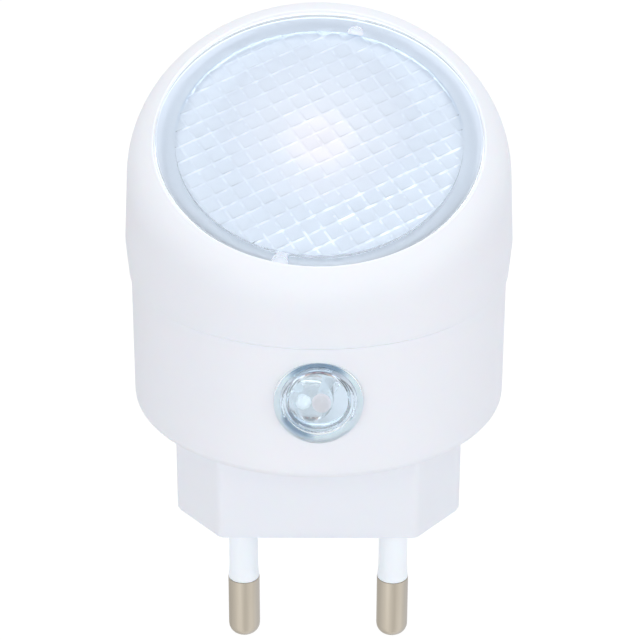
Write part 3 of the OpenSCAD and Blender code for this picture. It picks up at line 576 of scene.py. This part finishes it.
def lens_clear():
    """The lens: clear plastic with a breath of blue, polished on top and soft underneath, with
    painted
    light: glints in dashes along the grooves between the prisms, and a glow round its edge; and
    with
    painted shade: a darker blue at the field's upper edge and on the pegs."""
    paint = Paint("lens_clear", linear(241, 247, 252), IOR=CLEAR_IOR, Transmission_Weight=1.0)
    place = paint.split(paint.lens_place())
    away = paint.from_lens_axis()
    # places along the prisms' rows and across them, in pitches
    in_rows = paint.node(
        "Mapping",
        Vector=paint.lens_place(),
        Rotation=(0, 0, PRISM_TURN),
        Scale=(PRISM_PITCH * MM,) * 3,
    )
    in_rows.vector_type = "TEXTURE"
    grid = paint.split(in_rows.outputs["Vector"])

    under = paint.between(place["Z"], UNDERSIDE_Z)
    soft = paint.between(away, SOFTEST_R, SOFTEST, SOFT)
    paint.vary_roughness(under, POLISHED, soft)

    # painted shade: the upper half of the field's edge and the pegs are coloured a darker blue
    # than the rest
    field_edge = paint.result(
        "MULTIPLY",
        paint.between(away, FIELD_EDGE_IN_R),
        paint.between(away, FIELD_EDGE_OUT_R),
        paint.between(place["Z"], FIELD_EDGE_Z),
        paint.between(place["Y"], UPPER_HALF_Y),
    )
    painted_blue_shade = paint.result("MAXIMUM", field_edge, paint.between(place["Z"], PEGS_Z))
    paint.vary_colour(painted_blue_shade, linear(210, 223, 237))

    def dashes(across, shift, grain, low, high):
        """Painted glints: broken dashes of glow along the grooves that cross one axis of the
        grid, in pitches.
        """
        from_groove = paint.result("PINGPONG", paint.result("ADD", across, shift), 0.5)
        groove = paint.graded(from_groove, 0.1, 0.02, smooth=True)
        broken = paint.graded(paint.noise(grain, 1), 0.45, 0.66, low, high)
        return paint.result("MULTIPLY", groove, broken)

    rows = dashes(grid["Y"], 0.5, 0.9, 0.02, 0.2)
    columns = dashes(grid["X"], 0.0, 1.3, 0.0, 0.09)
    # the painted glints are strongest in the last rows at the lower right
    last_rows = paint.graded(grid["Y"], -3.0, -5.5, 1.0, 3.0, smooth=True)
    either = paint.result("MAXIMUM", rows, columns)
    in_field = paint.between(away, DASHES_R)
    painted_glints = paint.result("MULTIPLY", either, under, in_field, last_rows)
    # painted light round the lens's edge, stronger up the slope, which lightens the dark ring
    # that the glass's edge gives
    edge_glow = paint.between(place["Y"], LENS_EDGE_Y, *LENS_EDGE_GLOW)
    edge = paint.between(away, LENS_EDGE_R, high=edge_glow)
    glow = paint.result("MAXIMUM", painted_glints, edge)
    return paint.set(Emission_Color=linear(246, 252, 255), Emission_Strength=glow).material


def reflector_white():
    """White plastic lit by the lamp: brightest and warmest near it, dimmer under the field's
    edge and lighter again where the lens's border rests on it, though less so at its top."""
    reach, warm_reach = (0, 13), (4, 12)
    field_edge_r, border_r = (15.9, 16.5), (17.9, 18.5)
    top_y, top_r = (14, 18), (18, 18.4)
    core_glow, far_glow = 0.4, 0.24
    edge_dimming, border_glow, top_dimming = -0.13, 0.3, -0.18
    paint = Paint("reflector_white", linear(240, 243, 250), Roughness=0.3)
    paint.vary_colour(paint.noise(0.5), linear(234, 238, 247))
    from_lamp = paint.distance(paint.coords, LAMP_CENTRE * MM)
    away = paint.from_lens_axis()
    up_slope = paint.split(paint.lens_place())["Y"]
    warm = paint.between(from_lamp, warm_reach, 1, 0)
    glow = paint.result(
        "ADD",
        paint.between(from_lamp, reach, core_glow, far_glow, smooth=True),
        paint.between(away, field_edge_r, high=edge_dimming),
        paint.between(away, border_r, high=border_glow),
        paint.result(
            "MULTIPLY",
            paint.between(up_slope, top_y, high=top_dimming),
            paint.between(away, top_r),
        ),
    )
    paint.set(
        Emission_Color=paint.mix_colours(warm, linear(245, 247, 255), linear(255, 244, 240)),
        Emission_Strength=glow,
    )
    return paint.bump(paint.noise(6), 0.004, 0.3).material


def lamp_lit():
    """The lamp's dome, lit, brightest in its middle."""
    dome_r = (0.5, 2.4)
    middle_glow, rim_glow = 0.68, 0.5
    paint = Paint(
        "led_phosphor", linear(222, 220, 222), Roughness=0.5, Emission_Color=linear(255, 242, 246)
    )
    away = paint.from_lens_axis(LAMP_UP)
    paint.set(Emission_Strength=paint.between(away, dome_r, middle_glow, rim_glow))
    paint.vary_colour(paint.noise(4), linear(218, 214, 210))
    return paint.bump(paint.noise(4), 0.01, 0.3).material


# Slot, colour, second tone, roughness and glow of the plain moulded and lacquered stuff
MOULDED = (
    ("board_white", (236, 238, 238), (226, 229, 230), 0.4, 0.15),
    ("capacitor_red", (222, 190, 178), (214, 178, 166), 0.3, 0.12),
    ("capacitor_black", (40, 44, 56), (28, 32, 44), 0.35, 0.08),
    ("case_black", (58, 60, 66), (46, 48, 54), 0.6, 0.26),
    ("resistor_tan", (214, 192, 156), (200, 176, 138), 0.4, 0.1),
    ("resistor_blue", (122, 164, 184), (104, 148, 172), 0.4, 0.0),
    ("inner_white", (232, 234, 238), (226, 229, 234), 0.5, 0.54),
    ("ring_rubber", (60, 60, 62), (48, 48, 50), 0.8, 0.0),
    ("wire_red", (200, 52, 46), (184, 42, 38), 0.4, 0.0),
)

MATERIALS = {
    "body_white": base_white(),
    # the sleeves' glow of 0.11 is painted light, which lightens them in the shade under the block
    "sleeve_white": shell_white("sleeve_white", linear(253, 254, 255), 0.11).material,
    "pin_metal": nickel(),
    "strap_brass": metal("strap_brass", (214, 180, 104), (190, 150, 80), 0.3),
    "screw_steel": metal("screw_steel", (190, 190, 194), (160, 160, 166), 0.35),
    "sensor_clear": sensor_clear(),
    "window_clear": window_clear(),
    "lens_clear": lens_clear(),
    "reflector_white": reflector_white(),
    "led_phosphor": lamp_lit(),
    **{row[0]: moulded(*row) for row in MOULDED},
}

slot_of = {row["node"]: row["material_slot"] for row in frame["record"]["subparts"]}
for name, node in frame["nodes"].items():
    if not node.data.materials:
        node.data.materials.append(None)
    for index in range(len(node.data.materials)):
        node.data.materials[index] = MATERIALS[slot_of[name]]


def dress(obj, body, slot, *nodes, material=None):
    """Gives a new piece its finish and its body, and says which nodes it stands for."""
    obj.data.materials.append(material or MATERIALS[slot])
    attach(obj, body)
    if nodes:
        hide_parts(*nodes)
    return obj


# ---- Head shell --------------------------------------------------------------------------


def wall_r(z):
    """Radius of the head's wall at height z: flared up to the crease, drafted in above it."""
    if z < CREASE_Z:
        return SKIRT_R + (HEAD_R - SKIRT_R) * (z - HEAD_Z) / (CREASE_Z - HEAD_Z)
    return HEAD_R + (HEAD_TOP_R - HEAD_R) * (z - CREASE_Z) / (RIM_Z - CREASE_Z)


def ball(a):
    """Centre and radius of the ball that rolls inside the wall and under the rim's plane."""
    radius = RIM_FRONT_R + (RIM_BACK_R - RIM_FRONT_R) * (1 + math.sin(a)) / 2
    r = HEAD_R
    # three rounds bring the wall's radius and the ball's height together
    for _ in range(3):
        z = RIM_Z + ((r - radius) * math.sin(a) * math.sin(TILT) - radius) / math.cos(TILT)
        r = wall_r(z)
    return Vector(((r - radius) * math.cos(a), (r - radius) * math.sin(a), z)), radius


def rim_point(a, k, inward=SKIN):
    """A point of the rounded rim, from the wall (k = 0) to the rim's plane (k = 1)."""
    centre, radius = ball(a)
    out = Vector((math.cos(a), math.sin(a), 0))
    whole = math.acos(out.dot(AXIS))
    across = (AXIS - out * math.cos(whole)).normalized()
    return centre + (radius - inward) * (out * math.cos(whole * k) + across * math.sin(whole * k))


def wall_point(a, z, inward=SKIN):
    """A point of the wall at azimuth a and height z."""
    r = wall_r(z) - inward
    return Vector((r * math.cos(a), r * math.sin(a), z))


def lens_polar(p):
    """Distance from the lens's axis, direction from it, and depth below the rim's plane."""
    local = p - LENS_CENTRE
    depth = -local.dot(AXIS)
    side = local + AXIS * depth
    return side.length, side.normalized(), depth


def crossing(test, low=0.0, high=1.0):
    """Where test turns true, between low and high."""
    for _ in range(40):
        middle = (low + high) / 2
        if test(middle):
            high = middle
        else:
            low = middle
    return (low + high) / 2


def head_section(a):
    """The shell's section at azimuth a, as a closed loop of points: up the outside to the lens
    pocket, down the pocket and its ledge, and back down the inside to the floor's bore."""
    edge, edge_rows = 0.12, 4
    wall_shares = (0.3, 0.6, 0.85)
    # a row on each side of the crease, at least so far below the rim's round
    crease_rows = ((-0.2, 0.3), (0.2, 0.12))
    rim_rows = 26
    lip, lip_rows = 0.3, 5
    inside_rows = 8
    start_z = ball(a)[0].z
    foot = HEAD_Z + edge
    loop = []
    for r, z in arc((SKIRT_R - edge, foot), edge, -90, 0, edge_rows):
        loop.append(Vector((r * math.cos(a), r * math.sin(a), z)))
    for share in wall_shares:
        loop.append(wall_point(a, foot + (min(CREASE_Z, start_z) - foot) * share))
    for up, below in crease_rows:
        loop.append(wall_point(a, min(CREASE_Z + up, start_z - below)))
    k_end = crossing(lambda k: lens_polar(rim_point(a, k))[0] < POCKET_R + lip)
    for j in range(rim_rows + 1):
        loop.append(rim_point(a, k_end * j / rim_rows))
    _, side, depth = lens_polar(loop[-1])

    def in_pocket(r, d):
        return LENS_CENTRE + side * r - AXIS * d

    for j in range(1, lip_rows + 1):
        turn = math.pi / 2 * j / lip_rows
        loop.append(
            in_pocket(POCKET_R + lip * (1 - math.sin(turn)), depth + lip * (1 - math.cos(turn)))
        )
    loop.append(in_pocket(POCKET_R, LEDGE_DEPTH))
    loop.append(in_pocket(LEDGE_IN_R, LEDGE_DEPTH))
    loop.append(in_pocket(LEDGE_IN_R, LEDGE_UNDER))

    def inside(u):
        """Up the inner wall for u up to 1, then round the inside of the rim."""
        if u < 1:
            return wall_point(a, HEAD_FLOOR_TOP + (start_z - HEAD_FLOOR_TOP) * u, HEAD_WALL)
        return rim_point(a, u - 1, HEAD_WALL)

    top = crossing(lambda u: lens_polar(inside(u))[2] < LEDGE_UNDER, 0.0, 2.0)
    for j in range(inside_rows + 1):
        loop.append(inside(top * (1 - j / inside_rows)))
    for z in (HEAD_FLOOR_TOP, HEAD_Z):
        loop.append(Vector((COLLAR_BORE_R * math.cos(a), COLLAR_BORE_R * math.sin(a), z)))
    return loop


# Rows of faces from the pocket's wall round to the floor's underside
INNER_ROWS = 15


def head_shell():
    """The shell, with the first material outside and the second inside."""
    steps = 288
    sections = [head_section(2 * math.pi * i / steps) for i in range(steps)]
    rows = len(sections[0])
    points = [sections[i][j] for j in range(rows) for i in range(steps)]
    marks = [0 if j < rows - INNER_ROWS else 1 for j in range(rows) for _ in range(steps)]
    return mesh_object("head_shell", points, ring_faces(rows, steps, True), 30, marks=marks)


shell = dress(head_shell(), "head", "body_white", "head_housing", material=head_white())
shell.data.materials.append(shell_inside())


# ---- Lens --------------------------------------------------------------------------------

PRISM_FIELD_R = 16.7
PRISM_H = 0.09
PRISM_FLAT = 0.62
PRISM_TIP_DEPTH = 2.3
PEG_AT_R = 17.4
PEG_R = 0.95
PEG_L = 3.0
PEG_ANGLE = math.radians(75.6)


def shoulder(s):
    """Profile of a prism across its half width: flat, then a soft fall to the groove."""
    if abs(s) < PRISM_FLAT:
        return 1.0
    return 0.5 + 0.5 * math.cos(math.pi * (abs(s) - PRISM_FLAT) / (1 - PRISM_FLAT))


def prism_slab():
    """A slab whose underside is a square field of small flat prisms, turned as they lie."""
    cells = 18
    stops = (-1, -0.9, -0.78, -PRISM_FLAT, 0, PRISM_FLAT, 0.78, 0.9)
    most_lean = 0.02
    slab_h = 0.35
    valley = -PRISM_TIP_DEPTH + PRISM_H
    slab_top = valley + slab_h
    rng = random.Random(7)
    half = cells * PRISM_PITCH / 2
    count = cells * len(stops) + 1
    lean = [
        [tuple(rng.uniform(-most_lean, most_lean) for _ in range(2)) for _ in range(cells)]
        for _ in range(cells)
    ]

    def place(n):
        """Cell that grid line n lies in, and where across that cell."""
        cell = min(n // len(stops), cells - 1)
        return cell, stops[n - cell * len(stops)] if n < count - 1 else 1

    points = []
    for i in range(count):
        for j in range(count):
            (ci, s), (cj, t) = place(i), place(j)
            tilt_s, tilt_t = lean[ci][cj]
            drop = shoulder(s) * shoulder(t) * (PRISM_H + tilt_s * s + tilt_t * t)
            x = (ci + (s + 1) / 2) * PRISM_PITCH - half
            # the rows lie half a pitch off the lens's centre
            y = (cj + t / 2) * PRISM_PITCH - half + PRISM_PITCH
            points.append(
                (
                    x * math.cos(PRISM_TURN) - y * math.sin(PRISM_TURN),
                    x * math.sin(PRISM_TURN) + y * math.cos(PRISM_TURN),
                    valley - drop,
                )
            )
    faces = []
    for i in range(count - 1):
        for j in range(count - 1):
            p = i * count + j
            faces.append((p, p + count, p + count + 1, p + 1))
    border = [i * count for i in range(count)]
    border += [(count - 1) * count + j for j in range(1, count)]
    border += [i * count + count - 1 for i in range(count - 2, -1, -1)]
    border += [j for j in range(count - 2, 0, -1)]
    top = len(points)
    points += [(points[p][0], points[p][1], slab_top) for p in border]
    for n, p in enumerate(border):
        m = (n + 1) % len(border)
        faces.append((p, border[m], top + m, top + n))
    faces.append(tuple(top + n for n in range(len(border))))
    return mesh_object("prism_slab", points, faces, 60, LENS_FRAME)


def disc_rod(name, radius, low, high, sides, place):
    """A plain rod along the lens's axis, or beside it."""
    return revolve(
        name, [(0, low), (radius, low), (radius, high), (0, high)], sides, 30, LENS_FRAME @ place
    )


def lens_piece():
    """The lens: a smooth clear disc with a bevelled edge, prisms underneath and two pegs."""
    flat_r = LENS_R - LENS_BEVEL_W
    edge_z = -LENS_SINK - LENS_BEVEL_H
    under = -LENS_SINK - LENS_T + LIFT
    overlap = 0.2
    ceiling = -PRISM_TIP_DEPTH + PRISM_H + overlap
    corner = 0.12
    brow_w, brow_h = 0.1, 0.02
    rod_over, rod_low = 0.02, -5
    peg_root = 0.1
    body = revolve(
        "lens_cover",
        [(0, ceiling), (PRISM_FIELD_R, ceiling), (PRISM_FIELD_R, under)]
        + [(LENS_R - corner, under), (LENS_R, under + corner), (LENS_R, edge_z - corner)]
        + arc((LENS_R - corner, edge_z - corner), corner, 0, 75, 3)[1:]
        + [(flat_r + brow_w, -LENS_SINK - brow_h), (flat_r - brow_w, -LENS_SINK)]
        + [(0, -LENS_SINK)],
        256,
        25,
        LENS_FRAME,
    )
    rod = disc_rod("rod", PRISM_FIELD_R + rod_over, rod_low, 0, 256, Matrix.Identity(4))
    cut(body, cut(prism_slab(), rod, "INTERSECT"), "UNION")
    for turn in (PEG_ANGLE, PEG_ANGLE + math.pi):
        place = Matrix.Translation((PEG_AT_R * math.cos(turn), PEG_AT_R * math.sin(turn), 0))
        cut(body, disc_rod("peg", PEG_R, under - PEG_L, under + peg_root, 32, place), "UNION")
    tidy(body, 60)
    return body


dress(lens_piece(), "head", "lens_clear", "lens")

# ---- Sensor window and sensor ------------------------------------------------------------

WINDOW_FRAME = Matrix.Translation((0, WINDOW_SEAT_Y, WINDOW_Z)) @ Matrix.Rotation(
    math.radians(90), 4, "X"
)


def window_piece():
    """Clear cap: rounded rim, a shallow groove inside it and a low dome, on a short skirt."""
    rim_h = 0.85
    groove_r = 3.95
    groove_h = 0.45
    groove_w, groove_sink = 0.15, 0.02
    dome_r = 3.6
    dome_h = 0.75
    bore_r = 3.6
    skirt_r = 4.4
    skirt_l = 1.78
    rim_round = 0.38
    inner_round, inner_round_in = 0.3, 0.32
    bevel = 0.3
    back = -0.15
    dome_foot = 0.05
    dome_rows = 10
    dome = [
        (
            dome_r * math.cos(t),
            groove_h + dome_foot + (dome_h - groove_h - dome_foot) * math.sin(t),
        )
        for t in (math.radians(90 * i / dome_rows) for i in range(dome_rows))
    ]
    return revolve(
        "window_cap",
        [(0, back), (bore_r - bevel, back), (bore_r, back - bevel), (bore_r, -skirt_l)]
        + [(skirt_r, -skirt_l), (skirt_r, LIFT), (WINDOW_R, LIFT)]
        + arc((WINDOW_R - rim_round, rim_h - rim_round), rim_round, 0, 90, 6)
        + arc((groove_r + inner_round_in, rim_h - inner_round), inner_round, 90, 160, 4)
        + [(groove_r, groove_h), (groove_r - groove_w, groove_h - groove_sink)]
        + dome
        + [(0, dome_h)],
        128,
        35,
        WINDOW_FRAME,
    )


dress(window_piece(), "base", "window_clear", "sensor_window")

SENSOR_X = -0.8
SENSOR_BACK_Y = -13.88
SENSOR_Z = 24.9
SENSOR_FRAME = Matrix.Translation((SENSOR_X, SENSOR_BACK_Y, SENSOR_Z)) @ Matrix.Rotation(
    math.radians(90), 4, "X"
)


def sensor_body():
    """The clear case: a flange, a straight part and a round end towards the window."""
    flange_r, flange_l, body_r, length = 2.9, 1.0, 2.5, 7.0
    bevel = 0.1
    return revolve(
        "sensor_body",
        [(0, 0), (flange_r - bevel, 0), (flange_r, bevel), (flange_r, flange_l - bevel)]
        + [(flange_r - bevel, flange_l), (body_r, flange_l)]
        + arc((0, length - body_r), body_r, 0, 90, 14)[:-1]
        + [(0, length)],
        64,
        35,
        SENSOR_FRAME,
    )


def sensor_leads():
    """Two bent leads, which go on as posts inside the clear body."""
    half_pitch = 1.27
    wire_r = 0.28
    back_y = SENSOR_BACK_Y + 1.2
    routes = []
    for side, reach in ((-1, 3.4), (1, 4.0)):
        x = SENSOR_X + side * half_pitch
        routes.append(
            [
                (x, back_y, BOARD_TOP_Z),
                (x, back_y, SENSOR_Z - 0.8),
                (x, back_y - 0.2, SENSOR_Z - 0.25),
                (x, back_y - 0.7, SENSOR_Z),
                (x - side * 0.2, SENSOR_BACK_Y - 1, SENSOR_Z),
                (x - side * 0.6, SENSOR_BACK_Y - reach, SENSOR_Z),
            ]
        )
    return wires("sensor_leads", routes, wire_r)


def sensor_cup():
    """The bright cup on the first post, open towards the window."""
    outer, inner, depth, bottom = 0.45, 0.34, 0.4, 0.2
    return revolve(
        "sensor_cup",
        [(0, 0), (outer * 0.6, 0), (outer, depth), (inner, depth)]
        + [(inner * 0.5, bottom), (0, bottom)],
        32,
        35,
        SENSOR_FRAME @ Matrix.Translation((-0.45, -0.6, 3.4)),
    )


def sensor_chip():
    """The pinkish chip on the second post."""
    face_r, chip_r, bevel, height = 0.55, 0.65, 0.1, 0.35
    return revolve(
        "sensor_chip",
        [(0, 0), (face_r, 0), (chip_r, bevel), (chip_r, height - bevel)]
        + [(face_r, height), (0, height)],
        32,
        35,
        SENSOR_FRAME @ Matrix.Translation((0.7, -0.5, 4.0)),
    )


dress(sensor_body(), "base", "sensor_clear", "dusk_sensor")
tinned = moulded("tinned", (214, 222, 226), (200, 210, 216), 0.3, 0.35)
bright_cup = moulded("cup", (244, 248, 250), (236, 242, 246), 0.25, 0.5)
pink = moulded("chip_pink", (248, 222, 220), (244, 208, 206), 0.4, 0.42)
dress(sensor_leads(), "base", "screw_steel", material=tinned)
dress(sensor_cup(), "base", "screw_steel", material=bright_cup)
dress(sensor_chip(), "base", "sensor_clear", material=pink)

# ---- Lamp leads --------------------------------------------------------------------------


def lamp_leads():
    """Two insulated wires from the main board up through the collar to the lamp board."""
    lamp_board_depth = 9.7
    bend, slack = 4.0, 1
    half_pitch, wire_r = 1.6, 0.6
    straight_rows, bent_rows = 40, 16
    end = LENS_FRAME @ Vector((0, LAMP_UP, -lamp_board_depth))
    knee = Vector((0, 0, end.z - bend - slack))
    rise = knee.z - BOARD_TOP_Z
    route = [
        Vector((0, 0, BOARD_TOP_Z + rise * i / straight_rows)) for i in range(straight_rows)
    ]
    first, second = knee + Vector((0, 0, bend / 2)), end - AXIS * bend * 0.6
    for i in range(bent_rows + 1):
        k = i / bent_rows
        route.append(
            (1 - k) ** 3 * knee
            + 3 * (1 - k) ** 2 * k * first
            + 3 * (1 - k) * k * k * second
            + k**3 * end
        )
    both = [[p + Vector((side * half_pitch, 0, 0)) for p in route] for side in (-1, 1)]
    made = wires("lamp_wires", both, wire_r)
    made.data.materials.append(MATERIALS["wire_red"])
    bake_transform(made)
    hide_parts("lamp_leads")


lamp_leads()


# ---- Camera, floor and light -------------------------------------------------------------

FOCAL_PX = 2500
SENSOR_MM = 36
CAMERA_FAR = 303.9
CAMERA_PITCH = math.radians(26.09)
CAMERA_ROLL = math.radians(-0.147)
CAMERA_X = 0.142
CAMERA_AIM_Z = 25.82
SOFTBOX_AIM_Z = 25


def camera():
    """The camera that was fitted to the photo; it rolls a little."""
    back = Vector((0, -math.cos(CAMERA_PITCH), math.sin(CAMERA_PITCH)))
    level_up = Vector((0, math.sin(CAMERA_PITCH), math.cos(CAMERA_PITCH)))
    level_right = Vector((1, 0, 0))
    right = level_right * math.cos(CAMERA_ROLL) - level_up * math.sin(CAMERA_ROLL)
    up = level_right * math.sin(CAMERA_ROLL) + level_up * math.cos(CAMERA_ROLL)
    data = bpy.data.cameras.new("camera")
    data.sensor_width = SENSOR_MM
    data.lens = FOCAL_PX / IMAGE_PX * SENSOR_MM
    data.clip_start, data.clip_end = 0.01, 10
    obj = bpy.data.objects.new("camera", data)
    bpy.context.scene.collection.objects.link(obj)
    turn = Matrix((right, up, back)).transposed().to_4x4()
    place = (Vector((CAMERA_X, 0, CAMERA_AIM_Z)) + back * CAMERA_FAR) * MM
    obj.matrix_world = Matrix.Translation(place) @ turn
    bpy.context.scene.camera = obj


def floor():
    """A level floor under the pins, as good as white where it is seen and a little darker as
    a source of light."""
    half = 3000
    white_share, white_strength = 0.86, 1.1
    z = cad_box[0].z / MM
    corners = [(-half, -half, z), (half, -half, z), (half, half, z), (-half, half, z)]
    obj = mesh_object("floor", corners, [(0, 1, 2, 3)])
    paint = Paint("floor", linear(228, 228, 230), Roughness=0.9)
    share = paint.result("MULTIPLY", paint.seen_rays(), white_share)
    white = paint.node("Emission", Strength=white_strength).outputs[0]
    surface = paint.mix_shaders(share, paint.shader.outputs[0], white)
    paint.put(surface, paint.tree.nodes["Material Output"].inputs["Surface"])
    obj.data.materials.append(paint.material)
    obj.visible_glossy = False


# What the metal mirrors below the horizon: azimuth from the front in degrees, and brightness
MIRRORED = (
    (-116, (0.76, 0.76, 0.76)),
    (-74, (0.87, 0.87, 0.87)),
    (-35, (1.34, 1.34, 1.34)),
    (10, (0.79, 0.79, 0.79)),
    (52, (1.21, 1.21, 1.21)),
    (106, (0.88, 0.91, 0.98)),
)
MIRRORED_TOP = 1.4


def world():
    """Even studio light. Seen rays that miss the floor meet a plain pale grey. What the metal
    mirrors is no floor but soft upright strips, which fade out above the horizon."""
    faded_at = 0.35
    made = bpy.data.worlds.new("studio")
    bpy.context.scene.world = made
    made.use_nodes = True
    made.node_tree.nodes.clear()
    nodes = Nodes(made.node_tree)
    studio = nodes.node("Background", Color=(0.975, 0.985, 1, 1), Strength=0.68).outputs[0]
    grey = nodes.node("Background", Color=(0.8, 0.8, 0.8, 1)).outputs[0]
    plain = nodes.mix_shaders(nodes.seen_rays(), studio, grey)

    way = nodes.split(nodes.node("TexCoord").outputs["Generated"])
    turn = nodes.result("ARCTAN2", way["X"], nodes.result("MULTIPLY", way["Y"], -1))
    ramp = nodes.node("ValToRGB", Fac=nodes.graded(turn, -math.pi, math.pi))
    ramp.color_ramp.interpolation = "EASE"
    stops = ramp.color_ramp.elements
    while len(stops) < len(MIRRORED):
        stops.new(0.5)
    for stop, (azimuth, colour) in zip(stops, MIRRORED):
        stop.position = (azimuth + 180) / 360
        stop.color = tuple(c / MIRRORED_TOP for c in colour) + (1,)
    strips = nodes.node("Background", Color=ramp.outputs["Color"], Strength=MIRRORED_TOP)
    mirrored = nodes.result(
        "MULTIPLY",
        nodes.node("LightPath").outputs["Is Glossy Ray"],
        nodes.graded(way["Z"], 0, faded_at, 1, 0, smooth=True),
    )
    surface = nodes.mix_shaders(mirrored, plain, strips.outputs[0])
    nodes.node("OutputWorld", Surface=surface)


def softbox(name, place, wide, high, watts, mirrored=True):
    """A lamp in millimetres that faces the object's middle."""
    data = bpy.data.lights.new(name, "AREA")
    data.shape = "RECTANGLE"
    data.size, data.size_y = wide * MM, high * MM
    data.energy = watts
    obj = bpy.data.objects.new(name, data)
    bpy.context.scene.collection.objects.link(obj)
    obj.location = Vector(place) * MM
    aim = Vector((0, 0, SOFTBOX_AIM_Z)) * MM - obj.location
    obj.rotation_mode = "QUATERNION"
    obj.rotation_quaternion = aim.to_track_quat("-Z", "Y")
    obj.visible_glossy = mirrored


camera()
floor()
world()
softbox("key", (0, -650, 270), 400, 400, 0.56)
softbox("left", (-344, -551, 230), 140, 460, 0.36)
softbox("right", (500, -420, 210), 140, 460, 0.4)
softbox("top", (0, 120, 700), 300, 300, 1.25, mirrored=False)

bpy.context.scene.view_settings.view_transform = "Standard"
